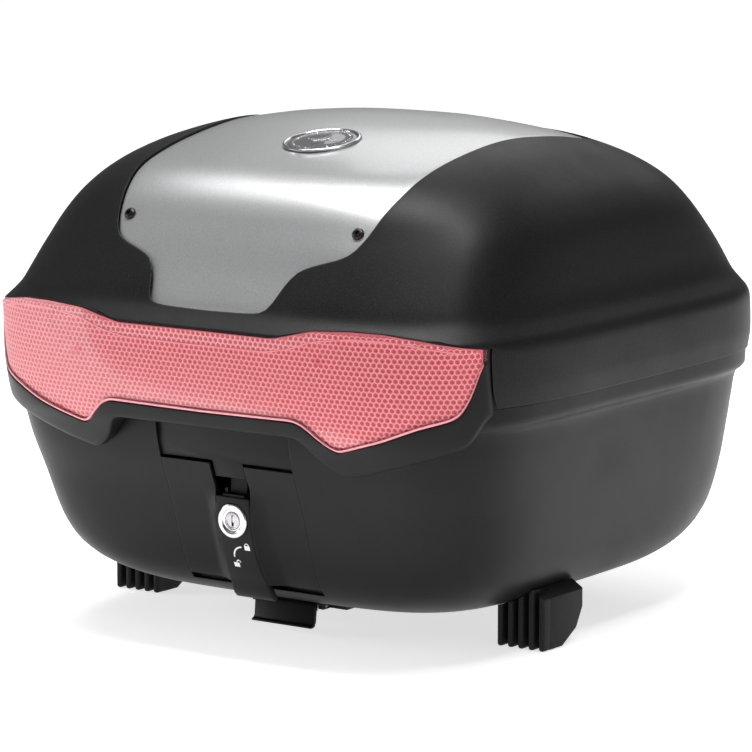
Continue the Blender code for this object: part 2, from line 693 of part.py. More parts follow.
def make_docking_plate(plastic, steel):
    """Plate under the base that the carrier on the motorcycle grips, and its four screws."""
    half, front, rear, under = PLATE
    plate = block("docking_plate", (-half, front, under), (half, rear, 25 - GAP), plastic)
    y, z = RELEASE_PIVOT
    for side in (-1, 1):
        low, high = sorted((side * (RELEASE_HALF + GAP + 0.2), side * (RELEASE_HALF + 5)))
        combine(plate, block("ear", (low, y - 4, under), (high, front + 4, 25 - GAP)), "UNION")
    combine(plate, block("catch_way", (-8.5, front - 5, under - 2), (8.5, front + 26, 23)))
    combine(plate, cylinder("pin_bore", (-40, y, z), (40, y, z), 1.8, sides=16))
    for number, (x, screw_y) in enumerate(plate_screw_places(), start=1):
        combine(plate, cylinder("head_room", (x, screw_y, under - 1), (x, screw_y, under + 3.6), 4.4))
        combine(plate, cylinder("shank_room", (x, screw_y, under), (x, screw_y, 30), 2.3, sides=16))
        screw = cylinder("plate_screw_%d" % number, (x, screw_y, under + 0.8), (x, screw_y, under + 3.3),
                         4.0, steel)
        combine(screw, cylinder("shank", (x, screw_y, under + 2), (x, screw_y, FLOOR_Z - 0.4), 2.0, sides=16),
                "UNION")
        combine(screw, cylinder("socket", (x, screw_y, under - 1), (x, screw_y, under + 2.2), 1.8, sides=6))


def make_release(plastic, steel):
    """Release lever under the front edge, with its pin, return spring and catch."""
    y, z = RELEASE_PIVOT
    outline = [(-101, 24), (-108, 24), (-112.5, 21), (-113.4, 9), (-117, 6.4), (-116.6, 4.9),
               (-111.6, 5.2), (-110.2, 9), (-109.4, 16.2), (-107, 17.6), (-101, 17.6)]
    lever = side_profile("release_lever", outline, -RELEASE_HALF, RELEASE_HALF, plastic)
    for side in (-1, 1):
        low, high = sorted((side * 20.3, side * 30))
        combine(lever, block("spring_room", (low, -108.6, 15), (high, -90, 30)))
    combine(lever, cylinder("pin_bore", (-40, y, z), (40, y, z), 1.8, sides=16))
    own_origin(lever, y, z)
    cylinder("release_pin", (-31, y, z), (31, y, z), 1.5, steel, sides=16)
    make_coil("release_spring", y, z, 20.8, 25.8, steel)
    front = PLATE[1]
    catch = block("mount_catch", (-8.2, front + 0.4, 18.6), (8.2, front + 15, 22.6), steel)
    combine(catch, block("catch_slope", (-9, front - 3, 17), (9, front + 1.4, 20)))


def make_coil(name, y, z, low_x, high_x, steel, turns=2.5, radius=2.6, wire=0.45):
    """A torsion spring wound round the release pin."""
    curve = bpy.data.curves.new(name, "CURVE")
    curve.dimensions = "3D"
    curve.bevel_depth = wire * MM
    curve.bevel_resolution = 1
    curve.use_fill_caps = True
    steps = int(turns * 10)
    spline = curve.splines.new("POLY")
    spline.points.add(steps)
    for k in range(steps + 1):
        turn = 2 * math.pi * turns * k / steps
        x = low_x + (high_x - low_x) * k / steps
        point = (x * MM, (y + radius * math.cos(turn)) * MM, (z + radius * math.sin(turn)) * MM, 1.0)
        spline.points[k].co = point
    obj = bpy.data.objects.new(name, curve)
    bpy.context.scene.collection.objects.link(obj)
    curve.materials.append(steel)
    return obj


def drill_base(shell):
    """Screw holes for the docking plate in the floor of the base."""
    for x, y in plate_screw_places():
        combine(shell, cylinder("floor_hole", (x, y, 20), (x, y, 40), 2.4, sides=16))


# ---------------------------------------------------------------- build
for old in list(bpy.data.objects):
    bpy.data.objects.remove(old, do_unlink=True)

BLACK = material("black_plastic", (0.022, 0.022, 0.024), 0.45)
GRAIN = material("grained_black_plastic", (0.024, 0.024, 0.026), 0.55)
SEAL = material("seal_rubber", (0.012, 0.012, 0.012), 0.8)
SILVER = material("silver_paint", (0.55, 0.56, 0.57), 0.3, 0.7)
RED = material("clear_red", (0.85, 0.12, 0.16), 0.12, 0.0, 0.55)
MIRRORED = material("mirrored_plate", (0.8, 0.45, 0.48), 0.2, 0.9)
STEEL = material("zinc_plated_steel", (0.6, 0.6, 0.62), 0.3, 1.0)

SCREW_BLACK = material("blacked_steel", (0.03, 0.03, 0.03), 0.35, 0.8)
CHROME = material("bright_chrome", (0.75, 0.75, 0.76), 0.15, 1.0)
BADGE_GREY = material("badge_grey", (0.12, 0.12, 0.13), 0.35, 0.6)

base = make_base(BLACK)
drill_base(base)
make_seal(SEAL)
lid = make_lid(GRAIN)
cover = make_cover(SILVER)
make_reflector(BLACK, MIRRORED, RED)
make_badge(CHROME, BADGE_GREY)
for turned, word in ((-1, "left"), (1, "right")):
    make_cover_screw("cover_screw_" + word, turned, SCREW_BLACK)
    make_hinge(turned, STEEL)
    make_front_foot("front_foot_" + word, turned, BLACK)
    make_rear_foot("rear_foot_" + word, turned, BLACK)
for shell in (base, lid, cover):
    finish_shell(shell)
make_panel(BLACK)
make_hasp(BLACK, STEEL)
make_lever(BLACK)
make_lock(CHROME, STEEL)
make_latch_carrier(STEEL)
make_docking_plate(BLACK, STEEL)
make_release(BLACK, STEEL)
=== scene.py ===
"""One-helmet motorcycle top case, piece by piece in the order it is put together.

Lengths are in millimetres as on a drawing, and turned into metres as each mesh is made.
+X is to the right when facing the lock, -Y is the lock side, +Z is up.
"""
import math

import bpy
import numpy as np
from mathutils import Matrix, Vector


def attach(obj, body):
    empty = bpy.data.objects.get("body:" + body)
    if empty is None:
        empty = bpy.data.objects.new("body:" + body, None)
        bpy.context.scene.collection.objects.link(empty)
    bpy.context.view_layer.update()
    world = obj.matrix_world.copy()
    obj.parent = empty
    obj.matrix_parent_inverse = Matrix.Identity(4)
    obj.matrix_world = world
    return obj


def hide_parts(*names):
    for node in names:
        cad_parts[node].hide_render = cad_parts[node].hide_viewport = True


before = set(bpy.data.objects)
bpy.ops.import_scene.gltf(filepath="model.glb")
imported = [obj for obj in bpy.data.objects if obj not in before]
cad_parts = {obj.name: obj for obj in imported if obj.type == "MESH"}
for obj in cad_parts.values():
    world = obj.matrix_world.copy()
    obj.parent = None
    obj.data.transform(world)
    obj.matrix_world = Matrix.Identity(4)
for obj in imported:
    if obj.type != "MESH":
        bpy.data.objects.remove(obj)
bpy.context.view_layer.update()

bpy.ops.object.select_all(action="DESELECT")

# ------------------------ camera, floor and light
# The studio: a pale floor without a joint, four soft boxes, and an even light from the ceiling.
# The camera stands to the right of the lock and a little above it.
AIM = Vector((0.0, 0.0, 0.167))
AZIMUTH, ELEVATION, DISTANCE = math.radians(35.0), math.radians(9.3), 3.102
looking = Vector((-math.sin(AZIMUTH) * math.cos(ELEVATION), math.cos(AZIMUTH) * math.cos(ELEVATION),
                  -math.sin(ELEVATION)))
bpy.ops.object.camera_add(location=AIM - looking * DISTANCE, rotation=looking.to_track_quat("-Z", "Y").to_euler())
camera = bpy.context.object
camera.name = "studio_camera"
camera.data.sensor_width = 36.0
camera.data.lens = 205.85
camera.data.clip_end = 100.0
bpy.context.scene.camera = camera
bpy.context.scene.view_settings.view_transform = "Standard"

MM = 0.001

class Finish:
    """A new material, with short ways to add its nodes and join them to its shader."""

    def __init__(self, name):
        self.mat = bpy.data.materials.new(name)
        self.mat.use_nodes = True
        self.tree = self.mat.node_tree
        self.shader = self.tree.nodes["Principled BSDF"]
        self.place = self.add("TexCoord").outputs["Object"]

    def add(self, kind, links=None, **settings):
        made = self.tree.nodes.new("ShaderNode" + kind)
        for key, value in settings.items():
            if hasattr(made, key):
                setattr(made, key, value)
            else:
                made.inputs[key.replace("_", " ")].default_value = value
        for key, source in (links or {}).items():
            self.tree.links.new(source, made.inputs[key])
        return made

    def noise(self, scale, detail, **more):
        return self.add("TexNoise", {"Vector": self.place}, Scale=scale, Detail=detail, **more).outputs[0]

    def ramp(self, source, low, high, places=(0.0, 1.0), middle=None):
        """A colour that goes from low to high as the source rises."""
        made = self.add("ValToRGB", {"Fac": source})
        for end, tone, place in zip(made.color_ramp.elements, (low, high), places):
            end.color, end.position = (*tone, 1.0), place
        if middle:
            made.color_ramp.elements.new(0.5).color = (*middle, 1.0)
        return made.outputs[0]

    def spread(self, source, low, high, start=0.0, stop=1.0):
        """The source's run from start to stop, stretched from low to high."""
        made = self.add("MapRange", {"Value": source})
        for k, value in enumerate((start, stop, low, high), 1):
            made.inputs[k].default_value = value
        return made.outputs[0]

    def mix(self, share, tone, other, **kind):
        made = self.add("Mix", {"Factor": share, 6: tone}, data_type="RGBA", **kind)
        made.inputs[7].default_value = (*other, 1.0)
        return made.outputs[2]

    def eased_edges_and_highlight(self, radius, start):
        """The eased normal, and how sharp the edge is, for edges that get a painted highlight."""
        edge = self.add("Bevel", Radius=radius, samples=4).outputs[0]
        flat = self.add("NewGeometry").outputs["Normal"]
        bend = self.add("VectorMath", {0: edge, 1: flat}, operation="DOT_PRODUCT")
        return edge, self.spread(bend.outputs["Value"], 0.0, 1.0, start, 0.80)

    def relief(self, height, strength, distance, **normal):
        return self.add("Bump", {"Height": height, **normal}, Strength=strength, Distance=distance).outputs[0]

    def feed(self, **sources):
        """Set the shader's own sockets, or join a node to them."""
        for key, source in sources.items():
            socket = self.shader.inputs[key.replace("_", " ")]
            if isinstance(source, bpy.types.NodeSocket):
                self.tree.links.new(source, socket)
            else:
                socket.default_value = source


def add_floor():
    finish = Finish("studio_floor")
    finish.feed(Base_Color=finish.spread(finish.noise(0.7, 2.0), 0.86, 0.90), Roughness=0.75,
                Specular_IOR_Level=0.15, Emission_Color=(1.0, 1.0, 1.0, 1.0), Emission_Strength=0.68)
    bpy.ops.mesh.primitive_circle_add(vertices=96, radius=30.0, fill_type="NGON", location=(0, 0, -0.0004))
    floor = bpy.context.object
    floor.name = "studio_floor"
    floor.data.materials.append(finish.mat)


def add_lights():
    world = bpy.data.worlds.new("studio_air")
    bpy.context.scene.world = world
    world.use_nodes = True
    world.node_tree.nodes["Background"].inputs[0].default_value = (1.0, 1.0, 1.0, 1.0)
    world.node_tree.nodes["Background"].inputs[1].default_value = 0.16
    # name, place, aimed at, width, height, watts
    boxes = [("top_box", (0.0, -0.20, 2.0), (0, -0.1, 0.3), 2.0, 0.32, 42.0),
             ("right_box", (2.4, -0.3, 0.9), (0.1, 0, 0.18), 0.7, 0.8, 2.0),
             ("left_box", (-2.2, -1.3, 0.8), (0, -0.1, 0.18), 0.7, 0.9, 14.0),
             ("back_box", (-0.4, 2.0, 1.7), (0, 0, 0.3), 2.4, 1.0, 10.0)]
    for name, place, target, width, height, watts in boxes:
        bpy.ops.object.light_add(type="AREA", location=place)
        lamp = bpy.context.object
        lamp.name = name
        lamp.data.shape = "RECTANGLE"
        lamp.data.size, lamp.data.size_y = width, height
        lamp.data.energy = watts
        lamp.rotation_euler = (Vector(target) - Vector(place)).to_track_quat("-Z", "Y").to_euler()
    bpy.ops.object.light_add(type="SUN", location=(0, 0, 3))
    sun = bpy.context.object
    sun.name = "ceiling_light"
    sun.data.energy = 0.7
    sun.data.angle = math.radians(60)
    sun.rotation_euler = Vector((0.1, -0.1, -1.0)).to_track_quat("-Z", "Y").to_euler()


add_floor()
add_lights()

# ------------------------ tub
# The tub is the lower half: satin black polypropylene, injection moulded with a 3 mm wall.
# Its rim carries a groove for the seal, and its front is cut back for the latch.
# Each row is one horizontal section: height, half width, front, rear, squareness front and rear.
TUB = [(25, 120, -106, 120, 4.0, 4.0), (27.5, 144, -127, 141, 4.4, 4.3), (33.5, 163, -139, 158, 5.0, 4.8),
       (43, 178, -147.5, 174, 5.8, 5.1), (57, 188.5, -154.5, 188, 6.6, 5.4), (75, 195, -161, 198, 7.0, 5.6),
       (103, 201, -170, 205, 7.0, 5.6), (133, 206, -181.5, 208.5, 7.0, 5.6), (150, 208.5, -185.5, 210, 7.0, 5.6),
       (167, 211.5, -187, 211.5, 7.0, 5.6), (174, 218, -187.5, 214.5, 7.0, 5.6), (185, 218.5, -187.5, 215, 7.0, 5.6)]
TUB_WALL = 3.0
TUB_FLOOR = 28.2
RIM_Z = 185.0
RIM_WIDTH = 10.5
SEAL_GROOVE = (5.6, 9.0, 181.0)
RECESS_HALF, RECESS_BACK, RECESS_FLOOR = 57.0, -138.0, 37.0
HINGE_Y, HINGE_Z, HINGE_X = 215.5, 185.0, (62.0, 112.0)
AROUND = 176              # points round a section


def eased(marks, values, at):
    """Smooth reading between set points that never runs past them."""
    marks, values, at = (np.asarray(v, float) for v in (marks, values, at))
    step = np.diff(marks)
    slope = np.diff(values) / step
    lean = np.zeros(len(marks))
    lean[0], lean[-1] = slope[0], slope[-1]
    for k in range(1, len(marks) - 1):
        before, after = slope[k - 1], slope[k]
        if before * after > 0:
            a, b = 2 * step[k] + step[k - 1], step[k] + 2 * step[k - 1]
            lean[k] = (a + b) / (a / before + b / after)
    k = np.clip(np.searchsorted(marks, at, side="right") - 1, 0, len(step) - 1)
    t = np.clip((at - marks[k]) / step[k], 0, 1)
    return (values[k] * (1 + 2 * t) * (1 - t) ** 2 + lean[k] * step[k] * t * (1 - t) ** 2
            + values[k + 1] * t * t * (3 - 2 * t) + lean[k + 1] * step[k] * t * t * (t - 1))


class Form:
    """A shell's outer form, smooth through its sections."""

    def __init__(self, levels):
        self.table = np.array(levels, float)
        runs = np.hypot(np.diff(self.table[:, 0]), np.diff(self.table[:, 1]))
        self.marks = np.concatenate([[0.0], np.cumsum(runs)])
        self.fine = np.linspace(0.0, self.marks[-1], 6000)
        self.dense = [eased(self.marks, self.table[:, k], self.fine) for k in range(6)]
        self.heights = self.dense[0]

    def rows(self, count, low=None, high=None):
        first = self.fine[0] if low is None else np.interp(low, self.heights, self.fine)
        last = self.fine[-1] if high is None else np.interp(high, self.heights, self.fine)
        along = np.linspace(first, last, count)
        return np.column_stack([eased(self.marks, self.table[:, k], along) for k in range(6)])


def ring(row, inset=0.0, front_extra=0.0, lift=0.0):
    """Evenly spaced points round one section."""
    z, half, front, rear, front_square, rear_square = row
    middle = 0.5 * (front + rear)
    turn = np.linspace(-0.5 * math.pi, 1.5 * math.pi, 2881)
    c, s = np.cos(turn), np.sin(turn)
    ahead = s < 0
    power = 2.0 / np.where(ahead, front_square, rear_square)
    reach = np.where(ahead, middle - front - inset - front_extra, rear - inset - middle)
    x = (half - inset) * np.sign(c) * np.abs(c) ** power
    y = middle + reach * np.sign(s) * np.abs(s) ** power
    run = np.concatenate([[0.0], np.cumsum(np.hypot(np.diff(x), np.diff(y)))])
    even = np.linspace(0.0, run[-1], AROUND, endpoint=False)
    return np.column_stack([np.interp(even, run, x), np.interp(even, run, y), np.full(AROUND, z + lift)])


def put_mesh(name, verts, faces):
    """A new object from points in millimetres."""
    mesh = bpy.data.meshes.new(name)
    mesh.from_pydata((np.asarray(verts, float) * MM).tolist(), [], faces)
    mesh.update()
    piece = bpy.data.objects.new(name, mesh)
    bpy.context.scene.collection.objects.link(piece)
    return piece


def bands(count, rows):
    """Four-sided faces between rings that lie one after another."""
    return [(r * count + k, r * count + (k + 1) % count, (r + 1) * count + (k + 1) % count, (r + 1) * count + k)
            for r in range(rows - 1) for k in range(count)]


def solid(name, rings, hubs=True):
    """Skin a stack of rings and close both ends, round a middle point or flat across."""
    count = len(rings[0])
    verts = [tuple(p) for one in rings for p in one]
    faces = bands(count, len(rings))
    if not hubs:
        faces += [tuple(range(count))[::-1], tuple(range(len(verts) - count, len(verts)))]
        return put_mesh(name, verts, faces)
    for r, flip in ((0, True), (len(rings) - 1, False)):
        verts.append(tuple(np.mean(rings[r], axis=0)))
        hub = len(verts) - 1
        for k in range(count):
            n = (k + 1) % count
            a, b = r * count + k, r * count + n
            faces.append((hub, b, a) if flip else (hub, a, b))
    return put_mesh(name, verts, faces)


def box(name, low, high):
    """A cutter or a blank between two corners."""
    low, high = Vector(low) * MM, Vector(high) * MM
    bpy.ops.mesh.primitive_cube_add(size=1.0, location=(low + high) / 2)
    piece = bpy.context.object
    piece.name = name
    piece.scale = high - low
    bpy.ops.object.transform_apply(location=True, rotation=True, scale=True)
    return piece


def rod(name, start, end, radius, sides=40, tip=None):
    """A round bar or cone from one point to another."""
    start, end = Vector(start) * MM, Vector(end) * MM
    turn = (end - start).to_track_quat("Z", "Y").to_euler()
    bpy.ops.mesh.primitive_cone_add(vertices=sides, radius1=radius * MM, radius2=(radius if tip is None else tip) * MM,
                                    depth=(end - start).length, location=(start + end) / 2, rotation=turn)
    piece = bpy.context.object
    piece.name = name
    bpy.ops.object.transform_apply(location=True, rotation=True, scale=True)
    return piece


def only(*pieces):
    bpy.ops.object.select_all(action="DESELECT")
    for piece in pieces:
        piece.select_set(True)
    bpy.context.view_layer.objects.active = pieces[0]


def join(*pieces):
    only(*pieces)
    bpy.ops.object.join()
    return pieces[0]


def carve(piece, *tools, how="DIFFERENCE"):
    for tool in tools:
        cut = piece.modifiers.new("cut", "BOOLEAN")
        cut.operation, cut.solver, cut.object = how, "EXACT", tool
        only(piece)
        bpy.ops.object.modifier_apply(modifier=cut.name)
        bpy.data.objects.remove(tool)
    return piece


def soft_edges(piece, width, segments=3, angle=32.0):
    """Round the sharp edges off, as a mould does."""
    mod = piece.modifiers.new("round", "BEVEL")
    mod.width, mod.segments = width * MM, segments
    mod.limit_method, mod.angle_limit = "ANGLE", math.radians(angle)
    only(piece)
    bpy.ops.object.modifier_apply(modifier=mod.name)
    return piece


def settle(piece, body, slot, mat, *nodes, angle=34.0):
    """Give a finished piece its shading, its finish and its place on the model."""
    only(piece)
    bpy.ops.object.shade_smooth_by_angle(angle=math.radians(angle))
    piece.data.materials.clear()
    piece.data.materials.append(mat)
    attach(piece, body)
    if nodes:
        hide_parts(*nodes)
    return piece


def moulded(name, dark, light, rough, grain, depth, edge_highlight_tone=0.05):
    """Moulded plastic: fine spark-eroded grain, slow changes of sheen, and sharp edges painted a little lighter in
    patches, as a painted highlight.
    """
    finish = Finish(name)
    fine = finish.noise(grain, 2.0, Roughness=0.55)
    slow = finish.noise(14.0, 4.0, Roughness=0.6)
    edge, edge_highlight = finish.eased_edges_and_highlight(0.0011, 0.995)
    speck = finish.ramp(fine, dark, light, (0.36, 0.72))
    tone = finish.mix(slow, speck, (0.72, 0.73, 0.76), blend_type="MULTIPLY")
    # Sharp edges are painted a little lighter in patches: a painted highlight.
    share = finish.add("Math", {0: edge_highlight, 1: finish.noise(95.0, 3.0)}, operation="MULTIPLY").outputs[0]
    finish.feed(Base_Color=finish.mix(share, tone, (edge_highlight_tone, edge_highlight_tone, edge_highlight_tone * 1.04)), Specular_IOR_Level=0.17,
                Roughness=finish.spread(slow, rough - 0.05, rough + 0.06, 0.3, 0.7),
                Normal=finish.relief(fine, 0.6, depth, Normal=edge))
    return finish.mat


SATIN_BLACK = moulded("satin_black_plastic", (0.0045, 0.0045, 0.0048), (0.011, 0.011, 0.0115), 0.40, 1500.0, 0.00006)
INNER_BLACK = moulded("inner_black_plastic", (0.010, 0.010, 0.0105), (0.022, 0.022, 0.023), 0.55, 1300.0, 0.00008)

tub_form = Form(TUB)


def recess(name, grow=0.0):
    return box(name, (-RECESS_HALF - grow, -260, RECESS_FLOOR - grow),
               (RECESS_HALF + grow, RECESS_BACK + grow, 240))


def upright(name, inset, low, high):
    """The rim's section drawn straight up, set in all round."""
    row = np.array(TUB[-1], float)
    return solid(name, [ring(row, inset, lift=z - row[0]) for z in (low, high)])


def rim_ring(name, outer, inner, low, high):
    """A band that follows the rim and steps in round the latch recess."""
    band = carve(upright(name, outer, low, high), recess("out", outer))
    core = carve(upright("core", inner, low - 5, high + 5), recess("in", inner))
    return carve(band, core)


def hinge_rooms(low, high):
    """Clearance for both hinges in the rear edge."""
    rooms = []
    for side in (-1, 1):
        ends = sorted((side * (HINGE_X[0] - 1), side * (HINGE_X[1] + 1)))
        rooms.append(box("hinge_room", (ends[0], 210.6, low), (ends[1], 230, high)))
    return rooms


tub = solid("tub", [ring(row) for row in tub_form.rows(76)])
carve(tub, recess("latch_room"))
hollow = solid("hollow", [ring(row, TUB_WALL) for row in tub_form.rows(56, TUB_FLOOR, 168)])
carve(hollow, recess("latch_wall", TUB_WALL + 1.0))
carve(tub, hollow)
under_rim = tub_form.rows(2, 167, 185)
mouth = solid("mouth", [ring(under_rim[0], RIM_WIDTH), ring(under_rim[1], RIM_WIDTH),
                        ring(under_rim[1], RIM_WIDTH, lift=15)])
carve(mouth, recess("latch_rim", RIM_WIDTH))
carve(tub, mouth)
carve(tub, rim_ring("groove", SEAL_GROOVE[0], SEAL_GROOVE[1], SEAL_GROOVE[2], RIM_Z + 5))
cutters = [rod("floor_hole", (x, y, 20), (x, y, 40), 2.4, 24) for x in (-34, 34) for y in (-84, 26)]
carve(tub, join(*cutters, *hinge_rooms(178.5, 190)))
settle(tub, "base", "black_plastic", SATIN_BLACK, "base_shell")

# ------------------------ seal
# A soft black rubber cord pressed into the groove of the rim.
# It stands a little above the rim, and the lid squeezes it to keep the rain out.
def speckled(name, scale, detail, dark, light, rough, places=(0.0, 1.0), relief=None, **more):
    """A plain finish: fine specks of two tones, with a sheen that changes as they do."""
    finish = Finish(name)
    speck = finish.noise(scale, detail)
    finish.feed(Base_Color=finish.ramp(speck, dark, light, places), Roughness=finish.spread(speck, *rough), **more)
    if relief:
        finish.feed(Normal=finish.relief(speck, *relief))
    return finish.mat


RUBBER = speckled("seal_rubber_finish", 420.0, 4.0, (0.010, 0.010, 0.010), (0.030, 0.029, 0.028), (0.62, 0.9),
                  relief=(0.3, 0.0001))
seal = rim_ring("seal", SEAL_GROOVE[0] + 0.3, SEAL_GROOVE[1] - 0.3, SEAL_GROOVE[2] + 0.3, 187.5)
settle(seal, "base", "seal_rubber", RUBBER, "rim_seal")

# ------------------------ lid
# The lid's black wings are one moulding of fine-grained polypropylene with a bulging nose.
# It is sunk 4.5 mm where the bright cover lies, and cut away in front for the reflector.
LID = [(185.3, 221, -211, 216, 4.7, 5.6), (200, 222.5, -213, 217.5, 4.7, 5.6), (222, 222, -216, 217, 4.7, 5.6),
       (228, 220.5, -216.5, 216, 4.8, 5.6), (234, 216, -210, 213.5, 4.9, 5.5), (241, 210.5, -202, 210.5, 5.1, 5.4),
       (250, 206.5, -195.5, 207, 5.2, 5.3), (268, 202, -182.5, 196, 5.0, 5.0), (290, 196, -166.5, 179, 4.6, 4.6),
       (310, 184, -151.5, 164.5, 4.2, 4.2), (326, 168, -131, 143, 3.8, 3.8), (338, 151, -95, 114, 3.4, 3.4),
       (347, 127, -49, 87, 3.0, 3.0), (353, 90, -5, 68, 2.7, 2.7), (355.8, 46, 28, 60, 2.4, 2.4),
       (356.4, 1.0, 43, 45, 2.2, 2.2)]
LID_WALL = 3.2
LID_NOSE_EXTRA = 4.0
SEAL_SHELF = (187.8, 191.0)
COVER_PLAN = [(0, -203.5), (45, -202.5), (52, -198), (57, -188), (64, -181), (98, -173), (107, -162),
              (112.5, -147), (117, -128), (118, -78), (120, -21), (128.5, 24), (136, 55), (133, 78),
              (118, 88), (0, 91)]
COVER_SUNK = 4.5
COVER_THICK = 2.8
COVER_GAP = 0.8
COVER_LOW = COVER_SUNK - COVER_THICK - 0.3      # the cover's face lies this far under the wings
SCREW_XY = (97.5, -160.0)

GRAINED_BLACK = moulded("grained_black_plastic_finish", (0.0040, 0.0040, 0.0042), (0.016, 0.016, 0.0164), 0.42,
                        1050.0, 0.00013)
lid_form = Form(LID)


def roof(x, y, depth=0.0):
    """Height of the lid's outer form over (x, y), or of the same form set in by depth."""
    def high(px, py):
        low = np.full(px.shape, 0.02 * lid_form.marks[-1])
        top = np.full(px.shape, lid_form.marks[-1])
        for _ in range(24):
            mid = 0.5 * (low + top)
            half, front, rear, fs, rs = (np.interp(mid, lid_form.fine, lid_form.dense[k]) for k in (1, 2, 3, 4, 5))
            centre = 0.5 * (front + rear)
            reach = np.maximum(0.5 * (rear - front), 1e-6)
            square = np.where(py < centre, fs, rs)
            inside = (np.abs(px) / np.maximum(half, 1e-6)) ** square + (np.abs(py - centre) / reach) ** square < 1.0
            low = np.where(inside, mid, low)
            top = np.where(inside, top, mid)
        return np.interp(0.5 * (low + top), lid_form.fine, lid_form.heights)
    x, y = np.asarray(x, float), np.asarray(y, float)
    z = high(x, y)
    if np.any(depth):
        across = (high(x + 0.5, y) - high(x - 0.5, y))
        along = (high(x, y + 0.5) - high(x, y - 0.5))
        z = z - depth * np.sqrt(1 + across ** 2 + along ** 2)
    return z


def plan_loop(shrink, count=220):
    """The cover's plan with its corners rounded, evenly spaced and drawn in by shrink."""
    half = [np.array(p, float) for p in COVER_PLAN]
    loop = half + [np.array((-p[0], p[1])) for p in reversed(half[1:-1])]
    for _ in range(3):
        cut = []
        for k, p in enumerate(loop):
            q = loop[(k + 1) % len(loop)]
            cut += [0.8 * p + 0.2 * q, 0.2 * p + 0.8 * q]
        loop = cut
    loop = np.array(loop + loop[:1])
    run = np.concatenate([[0.0], np.cumsum(np.hypot(*np.diff(loop, axis=0).T))])
    even = np.linspace(0, run[-1], count, endpoint=False)
    loop = np.column_stack([np.interp(even, run, loop[:, 0]), np.interp(even, run, loop[:, 1])])
    way = np.roll(loop, -1, axis=0) - np.roll(loop, 1, axis=0)
    way /= np.linalg.norm(way, axis=1)[:, None]
    out = np.column_stack([way[:, 1], -way[:, 0]])
    if np.mean(np.sum(out * (loop - (0, -50)), axis=1)) < 0:
        out = -out
        loop, out = loop[::-1], out[::-1]
    return loop - out * shrink


TONGUE_DIP = 1.6              # the cover's tongue lies this much deeper than the rest of it
SPINE = (-176.0, 52.0, 40)    # front end, rear end and steps of the line that the cover's faces close on


def inside_out(piece, merge=False):
    """Turn every face outwards, after merging points that lie together."""
    only(piece)
    bpy.ops.object.mode_set(mode="EDIT")
    bpy.ops.mesh.select_all(action="SELECT")
    if merge:
        bpy.ops.mesh.remove_doubles(threshold=0.00002)
    bpy.ops.mesh.normals_make_consistent(inside=False)
    bpy.ops.object.mode_set(mode="OBJECT")
    return piece


def plan_body(name, shrink, bottom_depth, top_depth=None, top_z=380.0, rounding=0.0):
    """A piece with the cover's plan: its faces follow the roof, and its top edge may be rounded."""
    edge = plan_loop(shrink)
    pitch = (SPINE[1] - SPINE[0]) / SPINE[2]
    hub_y = SPINE[0] + pitch * np.round((np.clip(edge[:, 1], SPINE[0], SPINE[1]) - SPINE[0]) / pitch)
    hub = np.column_stack([np.zeros(len(edge)), hub_y])
    span = np.linalg.norm(hub - edge, axis=1)
    curl = [rounding * (1 - math.cos(a)) for a in np.linspace(0, math.pi / 2, 6)] if rounding else [0.0, 1.5]
    flats = [(edge + (hub - edge) * (far / span)[:, None], far) for far in curl]
    for share in np.linspace(0, 1, 25)[1:]:
        reach = (curl[-1] + (span - curl[-1]) * share) / span
        flats.append((edge + (hub - edge) * reach[:, None], curl[-1]))
    under, over = [], []
    for flat, far in flats:
        under.append(np.column_stack([flat, roof(flat[:, 0], flat[:, 1], bottom_depth)]))
        if top_depth is None:
            over.append(np.column_stack([flat, np.full(len(flat), top_z)]))
        else:
            fall = rounding - math.sqrt(max(rounding ** 2 - (rounding - far) ** 2, 0.0))
            dip = np.clip((-166.0 - flat[:, 1]) / 18.0, 0, 1)
            dip = TONGUE_DIP * dip * dip * (3 - 2 * dip)
            over.append(np.column_stack([flat, roof(flat[:, 0], flat[:, 1], top_depth + dip) - fall]))
    rings = list(reversed(under)) + over
    return inside_out(put_mesh(name, np.vstack(rings), bands(len(edge), len(rings))), merge=True)


# Reflector face on the centre line, as (height, y), and the outlines of its parts as (x, height)
FACE = [(128, -187.5), (132, -189.8), (150, -200.5), (160, -207), (171, -211), (185, -214.5), (200, -217),
        (229, -220), (242, -221)]
FACE_HALF, FACE_SQUARE, FACE_MIDDLE = 222.5, 4.7, 3.0
LENS_TOP = [(0, 228), (66, 227.8), (82, 231.5), (98, 235.5), (128, 237.3), (152, 236.8), (172, 234), (207, 226.3)]
LENS_LOW = [(0, 170), (78, 170.8), (86, 168), (103, 153.3), (109, 151), (116, 153), (145, 162), (170, 172),
            (190, 178.5), (195, 182), (201, 195), (207, 224.5)]
BEZEL_LOW = [(0, 159), (75, 159), (80.5, 156.5), (90, 143), (100, 135), (107, 132), (127.5, 137), (171, 150.5),
             (192, 158.5), (197, 162), (207, 184)]
LENS_END, PRISM_END, CELL_END = 206.5, 198.0, 204.6
LENS_THICK, PRISM_THICK, BACKING = 2.2, 1.2, 2.5


def rounded_line(points, spread=2.2):
    """A drawn line with its corners eased."""
    xs = np.arange(-215, 215.01, 0.5)
    raw = np.interp(np.abs(xs), [p[0] for p in points], [p[1] for p in points])
    reach = np.arange(-12, 12.01, 0.5)
    weight = np.exp(-0.5 * (reach / spread) ** 2)
    raw = np.convolve(np.pad(raw, len(reach) // 2, mode="edge"), weight / weight.sum(), mode="valid")
    return lambda x: np.interp(x, xs, raw)


lens_top, lens_low, bezel_low = rounded_line(LENS_TOP), rounded_line(LENS_LOW), rounded_line(BEZEL_LOW)


def face_y(x, z):
    """Outer surface of the lens and its frame."""
    reach = FACE_MIDDLE - eased([p[0] for p in FACE], [p[1] for p in FACE], z)
    part = np.maximum(1 - np.abs(np.asarray(x, float) / FACE_HALF) ** FACE_SQUARE, 0)
    return FACE_MIDDLE - reach * part ** (1 / FACE_SQUARE)


